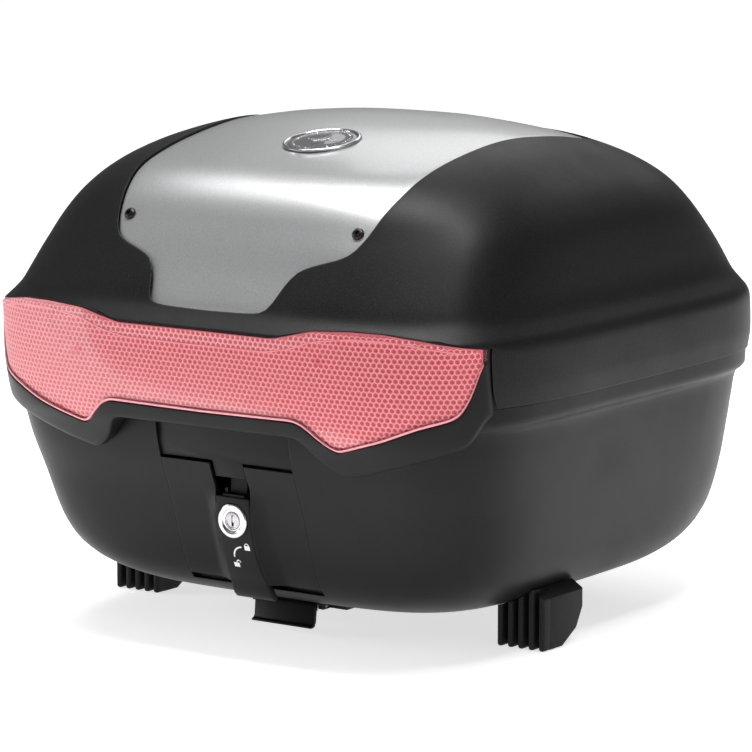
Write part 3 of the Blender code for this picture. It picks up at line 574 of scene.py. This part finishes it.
def step_depth(x):
    """How deep the frame is stepped to take the lens and the prism plate."""
    deep, shallow = LENS_THICK + PRISM_THICK + 1.5, LENS_THICK + 1.25
    return np.interp(np.abs(x), [0, PRISM_END + 1, PRISM_END + 3, 210], [deep, deep, shallow, shallow])


def stations(end, pitch=2.6):
    count = int(round(end / pitch))
    return np.linspace(-end, end, 2 * count + 1)


def swept(name, xs, outline):
    """Skin the (y, z) outline read at each station across the width."""
    rings = [np.array([(x, y, z) for y, z in outline(x)]) for x in xs]
    return solid(name, rings, hubs=False)


def reflector_room(x):
    top = lens_top(x) + 0.3
    deep = step_depth(x) + BACKING + 1.2
    column = [(face_y(x, z) + deep, z) for z in np.linspace(top, 180.0, 9)]
    return [(-250, 150), (-250, top)] + column + [(column[-1][0], 150)]


wings = solid("lid_wings", [ring(row) for row in lid_form.rows(96)])
carve(wings, inside_out(swept("reflector_room", stations(LENS_END + 1.2, 5.2), reflector_room)))
carve(wings, plan_body("cover_seat", 0.0, COVER_SUNK))
inside = [ring(row, LID_WALL, LID_NOSE_EXTRA if row[0] <= 235 else 0.0)
          for row in lid_form.rows(40, SEAL_SHELF[1], 352)]
hollow = solid("lid_hollow", [np.column_stack([one[:, :2], one[:, 2] - LID_WALL * min(k / 30, 1)])
                              for k, one in enumerate(inside)])
carve(hollow, plan_body("cover_backing", -LID_WALL, COVER_SUNK + LID_WALL))
carve(wings, hollow)
skirt = lid_form.rows(3, 185.3, 188.8)
carve(wings, solid("lid_mouth", [ring(skirt[0], LID_WALL, lift=-1.2), ring(skirt[1], LID_WALL, lift=-0.9),
                                 ring(skirt[2], LID_WALL, lift=SEAL_SHELF[0] - 188.8)]))
carve(wings, carve(upright("opening", RIM_WIDTH, 180, 200), recess("latch_lid", RIM_WIDTH)))


def on_cover(x, y):
    """The point of the cover's face over (x, y), and the way it faces."""
    z = roof(np.array([x, x + 1, x - 1, x, x]), np.array([y, y, y, y + 1, y - 1]), COVER_LOW)
    return Vector((x, y, z[0])), Vector((-(z[1] - z[2]) / 2, -(z[3] - z[4]) / 2, 1.0)).normalized()


def screw_holes():
    holes = []
    for side in (-1, 1):
        centre, out = on_cover(side * SCREW_XY[0], SCREW_XY[1])
        holes.append(rod("screw_hole", centre - out * 14, centre + out * 14, 3.3, 32))
    return holes


carve(wings, join(*screw_holes(), *hinge_rooms(180, 190.6)))
settle(wings, "lid", "grained_black_plastic", GRAINED_BLACK, "lid_shell")

# ------------------------ bright cover
# A separate moulding sprayed metallic silver under clear lacquer, held by two screws.
# Its top edge is rounded, and it lies a little under the wings with a thin gap all round.
def silver_finish():
    finish = Finish("silver_lacquer")
    flake = finish.add("TexVoronoi", {"Vector": finish.place}, Scale=2600.0).outputs["Color"]
    tone = finish.ramp(flake, (0.40, 0.405, 0.41), (0.60, 0.605, 0.61))
    edge_highlight = finish.eased_edges_and_highlight(0.0012, 0.99)[1]
    # The sharp edges of the silver are painted lighter: a painted highlight.
    finish.feed(Base_Color=finish.mix(edge_highlight, tone, (0.72, 0.72, 0.73)), Metallic=0.75, Coat_Weight=0.6,
                Coat_Roughness=0.12, Roughness=finish.spread(finish.noise(9.0, 3.0), 0.30, 0.38),
                Normal=finish.relief(finish.noise(700.0, 1.0), 0.15, 0.00005))
    return finish.mat


cover = plan_body("bright_cover", COVER_GAP, COVER_SUNK - 0.6, COVER_LOW, rounding=1.5)
carve(cover, join(*screw_holes()))
settle(cover, "lid", "silver_paint", silver_finish(), "lid_cover")

# ------------------------ cover screws
# Two blackened button-head screws with a hexagon socket.
# They are driven square to the cover, one at each side of its tongue.
def metal(name, dark, light, rough, pitch, stretch=(1.0, 1.0, 1.0), metallic=1.0):
    """Metal with fine tooling marks; stretch draws the marks out along an axis."""
    finish = Finish(name)
    drawn = finish.add("Mapping", {"Vector": finish.place}, Scale=stretch).outputs[0]
    marks = finish.add("TexNoise", {"Vector": drawn}, Scale=pitch, Detail=3.0).outputs[0]
    edge = finish.add("Bevel", Radius=0.0004, samples=4).outputs[0]
    finish.feed(Base_Color=finish.ramp(finish.noise(60.0, 4.0), dark, light, (0.3, 0.7)), Metallic=metallic,
                Roughness=finish.spread(marks, rough - 0.06, rough + 0.1),
                Normal=finish.relief(marks, 0.25, 0.00003, Normal=edge))
    return finish.mat


def round_rings(profile, centre, out, sides):
    """Rings of a (radius, height) profile round an axis."""
    turn = Vector(out).to_track_quat("Z", "Y").to_matrix()
    return [np.array([tuple(Vector(centre) + turn @ Vector((radius * math.cos(a), radius * math.sin(a), height)))
                      for a in np.linspace(0, 2 * math.pi, sides, endpoint=False)]) for radius, height in profile]


def turned(name, profile, centre, out, sides=56):
    return solid(name, round_rings(profile, centre, out, sides))


BLACKED = metal("blackened_steel", (0.020, 0.018, 0.018), (0.045, 0.04, 0.04), 0.33, 900.0, metallic=0.85)
BUTTON = [(2.8, -9.0), (2.8, 0.3), (4.5, 0.3), (4.5, 0.7), (4.3, 1.25), (3.9, 1.8), (3.3, 2.25), (2.6, 2.5),
          (2.15, 2.58)]
for side, word in ((-1, "left"), (1, "right")):
    centre, out = on_cover(side * SCREW_XY[0], SCREW_XY[1])
    head = turned("cover_screw_head_" + word, BUTTON, centre, out)
    carve(head, rod("socket", centre + out * 1.0, centre + out * 5, 1.75, 6))
    settle(head, "lid", "black_screw", BLACKED, "cover_screw_" + word)

# ------------------------ badge
# A round bright bezel stuck on the cover, with a dark dished plate.
# A plain compass star and a ring of pips stand up from the plate.
CHROME = metal("bright_chrome_finish", (0.62, 0.62, 0.63), (0.78, 0.78, 0.79), 0.14, 500.0)
badge_at, badge_out = on_cover(0.0, -66.0)


def seat_under(piece, gap=0.3):
    """Trim the underside of a badge piece to the cover's curve, a hair above it."""
    for vert in piece.data.vertices:
        p = vert.co / MM
        floor = float(roof(np.array([p.x]), np.array([p.y]), COVER_LOW)[0]) + gap
        if p.z < floor:
            vert.co.z = floor * MM
    return piece

# The rim's closed profile; its two lowest points run on down into the cover
RIM = [(25.0, -4.7), (28.0, -4.7), (28.0, 1.3), (27.7, 1.8), (27.1, 2.15), (26.4, 2.2), (25.7, 2.0), (25.2, 1.6),
       (25.0, 1.1)]
rings = round_rings(RIM + RIM[:1], badge_at, badge_out, 96)
faces = [tuple(v % (96 * len(RIM)) for v in face) for face in bands(96, len(rings))]
badge_ring = inside_out(seat_under(put_mesh("badge_bezel", np.vstack(rings[:-1]), faces)))
settle(badge_ring, "lid", "bright_chrome", CHROME, "badge_rim")
DISH = [(24.7, -5.0), (24.7, 1.0), (24.3, 1.3), (23.5, 1.35), (21.0, 1.15), (12.0, 1.25), (4.0, 1.35)]
ENAMEL = speckled("badge_enamel", 1800.0, 2.0, (0.030, 0.030, 0.038), (0.075, 0.075, 0.090), (0.25, 0.4),
                  relief=(0.2, 0.00004), Metallic=0.4, Coat_Weight=0.8)
settle(seat_under(turned("badge_dish", DISH, badge_at, badge_out, 96)), "lid", "badge_grey", ENAMEL, "badge_plate")

turn = badge_out.to_track_quat("Z", "Y").to_matrix()
star = []
for k in range(8):
    a = math.pi / 2 + k * math.pi / 4
    long = 12.5 if k % 2 == 0 else 7.0
    for reach, turn_by in ((long, 0.0), (2.4, math.pi / 8)):
        star.append((reach * math.cos(a + turn_by), reach * math.sin(a + turn_by)))
rings = [np.array([tuple(badge_at + turn @ Vector((x * grow, y * grow, h))) for x, y in star])
         for grow, h in ((1.0, 1.0), (1.0, 1.55), (0.9, 1.75))]
compass = inside_out(solid("badge_star", rings))
pips = []
for k in range(40):
    a = 2 * math.pi * k / 40
    middle = badge_at + turn @ Vector((20.3 * math.cos(a), 20.3 * math.sin(a), 0))
    long = 0.9 if k % 5 == 0 else 0.4
    pips.append(turned("pip", [(long, 0.8), (long, 1.5), (long * 0.7, 1.75)], middle, badge_out, 10))
settle(join(compass, *pips), "lid", "bright_chrome", CHROME)

# ------------------------ reflector frame
# A black moulded frame that clips into the lid's nose and laps over the tub's rim.
# Its lower edge is a smooth band with rounded corners; the lens lies in a step above it.
def back_limit(x, z):
    """How far back the frame may reach and still swing clear of the tub's rim."""
    _, half, front, rear, square, _ = TUB[-1]
    middle = 0.5 * (front + rear)
    part = max(1 - abs(x / half) ** square, 0.0)
    radius = HINGE_Y - (middle - (middle - front) * part ** (1 / square)) + 1.4
    drop = min(z, HINGE_Z) - HINGE_Z
    return HINGE_Y - math.sqrt(radius * radius - drop * drop)


def frame_outline(x):
    bottom, seat, top = bezel_low(x), lens_low(x) - 0.3, lens_top(x)
    deep, lip_top = step_depth(x), bezel_low(x) + 3.0

    def face(z, set_in=0.0):
        return face_y(x, z) + set_in

    def back(z):
        return min(face(z) + deep + BACKING, back_limit(x, z))
    lip = min(max(back(lip_top), back_limit(x, bottom) - 2.0), back_limit(x, bottom))
    r = 1.3
    line = [(face(bottom, r), bottom), (face(bottom + 0.4, 0.4), bottom + 0.4), (face(bottom + r), bottom + r)]
    line += [(face(z), z) for z in np.linspace(bottom + r, seat - 0.8, 7)[1:]]
    line += [(face(seat, 0.25), seat - 0.25), (face(seat, 0.9), seat)]
    line += [(face(z) + deep, z) for z in np.linspace(seat, top, 9)]
    line += [(back(z), z) for z in np.linspace(top, seat, 5)]
    line += [(back(lip_top), lip_top), (lip, lip_top), (lip, bottom)]
    return line


bezel = inside_out(swept("reflector_frame", stations(LENS_END, 2.0), frame_outline))
settle(bezel, "lid", "black_plastic", SATIN_BLACK, "bezel", angle=40)

# ------------------------ prism plate
# A red metallised plate of small round prisms in a honeycomb, set behind the lens, painted pale on the ridges as a
# highlight and darker in the hollows as shade.
# The prisms above the ledge along its top are painted paler than the rest, as painted light.
CELL_WIDE, CELL_HIGH = 4.2, 3.4
LEDGE = [(0, 217.6), (60, 217.9), (80, 221.5), (98, 228.0), (128, 232.0), (152, 232.0), (172, 229.5), (207, 222.0)]
ledge_z = rounded_line(LEDGE, 3.0)


def along_face():
    """Distance along the face from the middle, against x."""
    xs = np.linspace(-CELL_END, CELL_END, 1200)
    ys = face_y(xs, 195.0)
    run = np.concatenate([[0.0], np.cumsum(np.hypot(np.diff(xs), np.diff(ys)))])
    return xs, run - np.interp(0.0, xs, run)


def prism_finish():
    finish = Finish("metallised_red")
    ridge_highlight_hollow_shade, painted_ledge_light = (finish.add("Attribute", attribute_name=name).outputs["Fac"] for name in ("ridge_highlight_hollow_shade", "painted_ledge_light"))
    glint = finish.noise(520.0, 2.0)
    # The ridges between the prisms are painted pale as a highlight, and their hollows darker red as painted shade.
    cup = finish.ramp(ridge_highlight_hollow_shade, (0.92, 0.70, 0.71), (0.37, 0.03, 0.05), middle=(0.72, 0.19, 0.21))
    vary = finish.mix(glint, cup, (0.78, 0.72, 0.72), blend_type="MULTIPLY")
    # The prisms over the ledge are painted paler: painted light.
    finish.feed(Base_Color=finish.mix(painted_ledge_light, vary, (1.05, 1.3, 1.3), blend_type="MULTIPLY"), Metallic=0.15,
                Roughness=finish.spread(glint, 0.22, 0.42))
    return finish.mat


def prism_depth(x):
    """The prisms sit close behind the lens at its ends, where the frame is shallow."""
    return LENS_THICK + float(np.interp(abs(x), [PRISM_END - 3, PRISM_END + 2], [0.6, 0.15]))


def prism_plate():
    xs, run = along_face()
    verts, faces, ridge_highlight_hollow_shade, painted_ledge_light, index = [], [], [], [], {}

    def point(s, z, depth, value, key=None):
        if key is not None and key in index:
            return index[key]
        x = float(np.interp(s, run, xs))
        z = float(np.clip(z, lens_low(x) + 1.0, lens_top(x) - 1.0))
        verts.append((x, face_y(x, z) + prism_depth(x) + depth, z))
        ridge_highlight_hollow_shade.append(value)
        # Prisms over the ledge are marked for the painted light.
        painted_ledge_light.append(1.0 if z > ledge_z(x) else 0.0)
        if key is not None:
            index[key] = len(verts) - 1
        return len(verts) - 1
    corner = [(0, 2 / 3), (0.5, 1 / 3), (0.5, -1 / 3), (0, -2 / 3), (-0.5, -1 / 3), (-0.5, 1 / 3)]
    for row in range(int(90 / CELL_HIGH)):
        z0 = 151 + row * CELL_HIGH
        shift = 0.5 * (row % 2)
        for column in range(-60, 61):
            s0 = (column + shift) * CELL_WIDE
            if not run[0] < s0 < run[-1]:
                continue
            x0 = float(np.interp(s0, run, xs))
            if not lens_low(x0) + 1.6 < z0 < lens_top(x0) - 1.6:
                continue
            # The last value at each point sets the painted light: 0 on the ridges for the painted highlight, up to 1
            # in the hollow for painted shade.
            outer = [point(s0 + a * CELL_WIDE, z0 + b * CELL_HIGH, 0.0, 0.0,
                           (round(2 * (column + shift + a)), round(3 * (row + b)))) for a, b in corner]
            inner = [point(s0 + 0.66 * a * CELL_WIDE, z0 + 0.66 * b * CELL_HIGH, 0.42, 0.55) for a, b in corner]
            hub = point(s0, z0, 0.62, 1.0)
            for k in range(6):
                n = (k + 1) % 6
                faces.append((outer[k], inner[k], inner[n], outer[n]))
                faces.append((inner[k], hub, inner[n]))
    piece = put_mesh("prism_cells", verts, faces)
    for name, values in (("ridge_highlight_hollow_shade", ridge_highlight_hollow_shade), ("painted_ledge_light", painted_ledge_light)):
        made = piece.data.attributes.new(name, "FLOAT", "POINT")
        made.data.foreach_set("value", np.array(values, np.float32))
    return piece


def tray_outline(x):
    """A thin backing sheet behind the prisms, out to the edge of the seat."""
    low, high = lens_low(x) + 0.4, lens_top(x) - 0.4
    deep = prism_depth(x)
    zs = np.linspace(low, high, 12)
    return [(face_y(x, z) + deep + 0.68, z) for z in zs] + [
        (face_y(x, z) + deep + 1.0, z) for z in zs[::-1]]


settle(prism_plate(), "lid", "mirrored_plate", prism_finish(), "reflector_plate", angle=70)
tray = inside_out(swept("prism_tray", stations(CELL_END, 3.0), tray_outline))
settle(tray, "lid", "mirrored_plate",
       speckled("red_tray", 160.0, 3.0, (0.50, 0.10, 0.13), (0.72, 0.22, 0.26), (0.3, 0.5)))

# ------------------------ lens
# Clear acrylic with a faint pink tint, 2 mm thick, with rounded edges and two moulding pips.
# A pale ledge and a pale polished border show through it.
def clear_finish(name, tint, milk, milky, gloss):
    """Clear plastic: light passes straight through tinted, and the surface shines."""
    finish = Finish(name)
    haze = finish.noise(45.0, 5.0)
    through = finish.add("BsdfTransparent", Color=(*tint, 1)).outputs[0]
    body = finish.add("BsdfDiffuse", Color=(*milk, 1)).outputs[0]
    inner = finish.add("MixShader", {0: finish.spread(haze, milky * 0.6, milky * 1.4), 1: through, 2: body})
    shine = finish.add("BsdfGlossy", {"Roughness": finish.spread(haze, 0.04, 0.12)})
    facing = finish.add("Fresnel", IOR=1.45).outputs[0]
    share = finish.add("Math", {0: facing}, operation="MULTIPLY")
    share.inputs[1].default_value = gloss
    whole = finish.add("MixShader", {0: share.outputs[0], 1: inner.outputs[0], 2: shine.outputs[0]})
    finish.tree.nodes.remove(finish.shader)
    finish.tree.links.new(whole.outputs[0], finish.tree.nodes["Material Output"].inputs[0])
    return finish.mat


def lens_outline(x):
    low, high = lens_low(x), lens_top(x)
    r = 0.9
    zs = np.linspace(low + r, high - r, 14)
    front = [(face_y(x, low) + r, low), (face_y(x, low) + 0.27, low + 0.27)]
    front += [(face_y(x, z), z) for z in zs]
    front += [(face_y(x, high) + 0.27, high - 0.27), (face_y(x, high) + r, high)]
    back = [(face_y(x, z) + LENS_THICK, z) for z in np.linspace(high, low, 14)]
    return front + back


lens = inside_out(swept("reflector_window", stations(LENS_END, 2.0), lens_outline))
pips = []
for x, z in ((-104, 204.0), (104, 215.0)):
    y = face_y(x, z)
    slope = Vector((float(face_y(x + 1, z) - face_y(x - 1, z)) / 2, -1.0,
                    float(face_y(x, z + 1) - face_y(x, z - 1)) / 2)).normalized()
    pips.append(turned("pip", [(3.0, -0.6), (3.0, 0.05), (2.6, 0.45), (1.6, 0.62)], (x, y, z), slope, 20))
ACRYLIC = clear_finish("tinted_acrylic", (1.0, 0.88, 0.89), (0.95, 0.45, 0.48), 0.03, 0.14)
settle(join(lens, *pips), "lid", "clear_red", ACRYLIC, "reflector_lens", angle=40)


def edge_outline(x):
    """The lens's polished edge: a slim band just behind its border."""
    low = lens_low(x) + 0.35
    foot, head = face_y(x, low), face_y(x, low + 1.5)
    return [(foot + 0.75, low), (head + 0.35, low + 1.5), (head + 1.5, low + 1.7), (foot + 1.7, low)]


def ledge_outline(x):
    z = ledge_z(x)
    y = face_y(x, z) + LENS_THICK + 0.05
    return [(y, z - 0.55), (y, z + 0.45), (y + 0.5, z + 0.55), (y + 0.5, z - 0.65)]


PALE = speckled("pale_ledge", 240.0, 3.0, (0.80, 0.34, 0.38), (0.95, 0.55, 0.58), (0.15, 0.3))
ledge = inside_out(swept("lens_ledge", stations(PRISM_END - 1, 2.6), ledge_outline))
settle(ledge, "lid", "clear_red", PALE)
border = inside_out(swept("lens_border", stations(LENS_END - 1.2, 2.0), edge_outline))
settle(border, "lid", "clear_red", PALE)

# ------------------------ hasp
# A black tongue clipped under the lid's rim. It fills the top of the recess and ends in a tab,
# which the latch lever holds down.
HASP = [(-179, 131), (-182, 141), (-184.5, 165), (-184.5, 183), (-200, 183), (-200, 187.5), (-166, 187.5),
        (-166, 184), (-180.5, 184), (-180.5, 165), (-178, 141), (-175, 131)]
TAB = [(-174.8, 119.4), (-179.2, 131.5), (-179.4, 134), (-175.4, 134), (-170.8, 119.4)]


def slab(name, outline, low_x, high_x):
    """Draw a closed (y, z) outline straight across, from one x to another."""
    return inside_out(solid(name, [np.array([(x, y, z) for y, z in outline]) for x in (low_x, high_x)], hubs=False))


hasp = slab("hasp_tongue", HASP, -RECESS_HALF + 0.3, RECESS_HALF - 0.3)
carve(hasp, slab("tab", TAB, -13.0, 13.0), how="UNION")
soft_edges(hasp, 0.7)
settle(hasp, "lid", "black_plastic", SATIN_BLACK, "hasp")

# ------------------------ latch panel
# The fixed cover of the latch recess, flush with the tub. It swells forward on both sides
# of the lever, in two long hollow flanks that run out towards the bottom.
LEVER_FRONT = [(-173.6, 105.5), (-173.2, 97), (-172.2, 88.7), (-170.0, 78), (-166.8, 68), (-162.8, 58),
               (-159.0, 50), (-155.0, 43)]
LEVER_HALF = 14.2
PANEL_TOP, PANEL_LOW = 129.0, 41.5


def tub_front(z):
    """Front of the tub on the centre line."""
    return float(eased([row[0] for row in TUB], [row[2] for row in TUB], z))


def lever_front(z):
    return float(eased([p[1] for p in LEVER_FRONT][::-1], [p[0] for p in LEVER_FRONT][::-1], z))


def half_of_lever(z):
    return LEVER_HALF * (1 + 0.2 * max(60 - z, 0) / 30)


def panel_front(x, z):
    """The panel's face: flush outside, and swelling up to the lever's sides."""
    y = tub_front(z)
    near = half_of_lever(z) + 0.7
    wide = 11.5 + 2.5 * max(90 - z, 0) / 50
    t = min(max((near + wide - abs(x)) / wide, 0.0), 1.0)
    rise = max(y - lever_front(min(z, 105.5)), 0.0) - 0.9
    fade = min(max((PANEL_TOP - 2 - z) / 26, 0.0), 1.0)
    fade = fade * fade * (3 - 2 * fade)
    return y - rise * fade * t ** 1.7


def latch_panel():
    xs = np.linspace(-RECESS_HALF + 0.3, RECESS_HALF - 0.3, 115)
    zs = np.linspace(PANEL_TOP, PANEL_LOW, 60)
    verts = [(x, panel_front(x, z), z) for z in zs for x in xs] + [(x, tub_front(z) + 3.0, z) for z in zs for x in xs]
    wide, tall = len(xs), len(zs)
    rear = wide * tall
    faces = []
    for r in range(tall - 1):
        for k in range(wide - 1):
            a = r * wide + k
            faces.append((a, a + wide, a + wide + 1, a + 1))
            faces.append((rear + a, rear + a + 1, rear + a + wide + 1, rear + a + wide))
    rim = list(range(wide)) + [r * wide + wide - 1 for r in range(1, tall)]
    rim += [(tall - 1) * wide + k for k in range(wide - 2, -1, -1)] + [r * wide for r in range(tall - 2, 0, -1)]
    for k, a in enumerate(rim):
        b = rim[(k + 1) % len(rim)]
        faces.append((a, b, rear + b, rear + a))
    return inside_out(put_mesh("latch_panel_cover", verts, faces))


panel = latch_panel()
carve(panel, box("tab_notch", (-15, -200, 100), (15, -140, 140)))
carve(panel, box("stem_slot", (-11.5, -200, 71), (11.5, -140, 110)))
settle(panel, "base", "black_plastic", SATIN_BLACK, "latch_panel")

# ------------------------ latch lever
# A thick black handle that is pulled out from the bottom to let the lid go.
# It is broad and flat in front, and its lower end curls in under the tub's edge.
def latch_lever():
    zs = list(np.linspace(105.5, 43, 40))
    line = [(lever_front(z), z) for z in zs] + [(-152.2, 37), (-149.5, 32), (-145.5, 28.5)]
    back = [(-142.6, 31.2), (-146.4, 37.5)] + [(tub_front(z) - 0.6, z) for z in zs[::-1]]
    piece = slab("lever_handle", line + back, -LEVER_HALF, LEVER_HALF)
    for vert in piece.data.vertices:
        vert.co.x *= half_of_lever(vert.co.z / MM) / LEVER_HALF
    soft_edges(piece, 1.1, 4, 45.0)
    return piece


PIVOT_Y, PIVOT_Z = -158.0, 103.0
LOCK_Z, LOCK_SEAT = 88.7, -171.8
lever = latch_lever()
carve(lever, box("stem", (-9, -172, 98.5), (9, PIVOT_Y + 6, 107)), how="UNION")
carve(lever, box("hook", (-7, -165.3, 102), (7, -161, 123)), how="UNION")
carve(lever, rod("pivot_bore", (-20, PIVOT_Y, PIVOT_Z), (20, PIVOT_Y, PIVOT_Z), 2.3))
carve(lever, rod("lock_bore", (0, -190, LOCK_Z), (0, -150, LOCK_Z), 8.8, 64))
carve(lever, rod("ring_seat", (0, -190, LOCK_Z), (0, LOCK_SEAT, LOCK_Z), 12.6, 64))
settle(lever, "latch", "black_plastic", SATIN_BLACK, "latch_lever")

# ------------------------ lock marks
# White pad-printed signs: a quarter arc for the key's travel, with a closed padlock at the
# top and an open one below.
def printed(name, points):
    """A closed flat sign from (x, z) points, laid on the lever's face."""
    rings = [np.array([(x, lever_front(z) - proud, z) for x, z in points]) for proud in (0.02, 0.14)]
    return inside_out(solid(name, rings, hubs=False))


def arc(cx, cz, radius, width, start, end, steps=18):
    angles = np.radians(np.linspace(start, end, steps))
    outer = [(cx + (radius + width / 2) * math.cos(a), cz + (radius + width / 2) * math.sin(a)) for a in angles]
    inner = [(cx + (radius - width / 2) * math.cos(a), cz + (radius - width / 2) * math.sin(a)) for a in angles[::-1]]
    return outer + inner


def oblong(cx, cz, w, h):
    return [(cx - w / 2, cz - h / 2), (cx + w / 2, cz - h / 2), (cx + w / 2, cz + h / 2), (cx - w / 2, cz + h / 2)]


signs = [printed("travel", arc(3.6, 61.0, 8.4, 1.1, 92, 178))]
for cx, cz, lift in ((8.2, 69.2, 0.0), (-4.6, 55.4, 1.5)):
    signs.append(printed("body", oblong(cx, cz, 4.6, 3.4)))
    signs.append(printed("shackle", arc(cx + (2.2 if lift else 0), cz + 1.8 + lift * 0.2, 1.5, 0.65, -8, 188)))
PRINT = speckled("white_print", 1500.0, 3.0, (0.55, 0.55, 0.55), (0.88, 0.88, 0.87), (0.4, 0.6), (0.25, 0.5))
settle(join(*signs), "latch", "bright_chrome", PRINT)

# ------------------------ lock
# A turned, polished lock ring with its barrel, let into the lever.
# The plug turns inside it, with a spring shutter over the key slot.
lock_out = Vector((0, -1, 0))
ring_at = Vector((0, LOCK_SEAT, LOCK_Z))
housing = turned("lock_ring", [(8.5, -21.8), (8.5, 0.3), (12.2, 0.3), (12.2, 1.2), (12.0, 1.8), (11.5, 2.25),
                               (10.9, 2.4), (9.0, 2.4), (8.5, 2.2), (8.1, 1.5), (7.6, 1.3)], ring_at, lock_out, 80)
carve(housing, rod("barrel_bore", (0, -200, LOCK_Z), (0, -140, LOCK_Z), 6.5, 64))
settle(housing, "latch", "bright_chrome", CHROME, "lock_housing")

SATIN_METAL = metal("satin_zinc", (0.46, 0.45, 0.47), (0.62, 0.61, 0.64), 0.27, 900.0)
CORE = [(6.2, -22.8), (6.2, 1.2), (5.9, 1.6), (5.3, 1.7), (5.0, 1.5), (4.8, 1.2), (3.0, 1.25)]
plug = turned("lock_plug_face", CORE, ring_at, lock_out, 64)
carve(plug, box("key_slot", (-0.9, LOCK_SEAT - 5, LOCK_Z - 4.0), (0.9, LOCK_SEAT + 10, LOCK_Z + 4.0)))
carve(plug, box("cam", (-3, -149.5, LOCK_Z - 10), (3, -147, LOCK_Z + 4)), how="UNION")
settle(plug, "lock_plug", "zinc_steel", SATIN_METAL, "lock_core")
shutter = box("key_shutter", (-0.75, LOCK_SEAT - 0.7, LOCK_Z - 1.4), (0.75, LOCK_SEAT + 0.6, LOCK_Z + 3.8))
soft_edges(shutter, 0.3)
settle(shutter, "lock_plug", "zinc_steel", CHROME)

# ------------------------ feet
# Four moulded feet screwed under the tub. The front pair are ribbed down their front face,
# and their outer top corner slopes up into the tub's round bottom edge.
under = Form(TUB[:8])
FRONT_FOOT = [(-59, 0), (-42, 0), (-24, 10), (-16, 24), (-16, 62), (-59, 62)]
REAR_FOOT = [(92, 0), (126, 0), (126, 40), (84, 40), (84, 12)]
FRONT_X, REAR_X = (149.0, 188.0), (42.0, 80.0)
RIBS, RIB_PITCH = 5, 8.55


def foot_blank(name, outline, low, high):
    return soft_edges(slab(name, outline, low, high), 1.4, 3, 30.0)


def seat_foot(foot, node):
    """Trim the foot's top to the underside of the tub."""
    carve(foot, solid("tub_shape", [ring(row, -0.3, lift=-0.3) for row in under.rows(40)]))
    settle(foot, "base", "black_plastic", INNER_BLACK, node)


for side, word in ((-1, "left"), (1, "right")):
    low, high = sorted((side * FRONT_X[0], side * FRONT_X[1]))
    foot = foot_blank("ribbed_foot_" + word, FRONT_FOOT, low, high)
    for k in range(RIBS):
        x = low + 2.4 + RIB_PITCH * k
        rib = box("rib", (x - 2.3, -66.8, 0.0), (x + 2.3, -57.0, 61.0))
        carve(foot, soft_edges(rib, 1.9, 4, 40.0), how="UNION")
    ends = sorted((side * 172.0, side * 189.0))
    slope = box("outer_slope", (ends[0], -80, 36), (ends[1], 0, 80))
    for vert in slope.data.vertices:
        if vert.co.z < 60 * MM and abs(vert.co.x) < 180 * MM:
            vert.co.z += 11 * MM
    carve(foot, slope)
    seat_foot(foot, "front_foot_" + word)
    low, high = sorted((side * REAR_X[0], side * REAR_X[1]))
    seat_foot(foot_blank("rear_support_" + word, REAR_FOOT, low, high), "rear_foot_" + word)

# ------------------------ release lever
# A pressed black lever under the front edge, turning on a pin.
# Lifting its curled lip draws the catch back.
RELEASE_Y, RELEASE_Z = -104.5, 20.5
release = slab("release_paddle", [(-101, 24), (-108, 24), (-111.0, 22.6), (-112.5, 20), (-113.4, 9), (-114.4, 7.3),
                                  (-117, 6.2), (-116.6, 4.9), (-113.6, 4.95), (-111.6, 5.8), (-110.2, 9),
                                  (-109.4, 16.2), (-107, 17.6), (-101, 17.6)], -26.0, 26.0)
soft_edges(release, 0.5, 3, 40.0)
for side in (-1, 1):
    low, high = sorted((side * 20.3, side * 30))
    carve(release, box("spring_room", (low, -108.6, 15), (high, -90, 30)))
carve(release, rod("pin_bore", (-40, RELEASE_Y, RELEASE_Z), (40, RELEASE_Y, RELEASE_Z), 1.8, 24))
settle(release, "release", "black_plastic", SATIN_BLACK, "release_lever")

# ------------------------ small metal parts and the docking plate
# Zinc-plated hinge leaves, pins, screws, spring, carrier and catch, and the black plate
# that the case docks with. They are kept as drawn, and get their finish here.
ZINC = metal("zinc_plating", (0.40, 0.40, 0.39), (0.60, 0.60, 0.58), 0.34, 300.0, (1.0, 6.0, 6.0))
PLATE_BLACK = moulded("docking_plate_black", (0.009, 0.009, 0.0095), (0.024, 0.024, 0.025), 0.5, 1200.0, 0.0001)
finishes = {"docking_plate": PLATE_BLACK}
for name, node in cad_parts.items():
    if node.hide_render:
        continue
    for one in node.material_slots:
        one.material = finishes.get(name, ZINC)
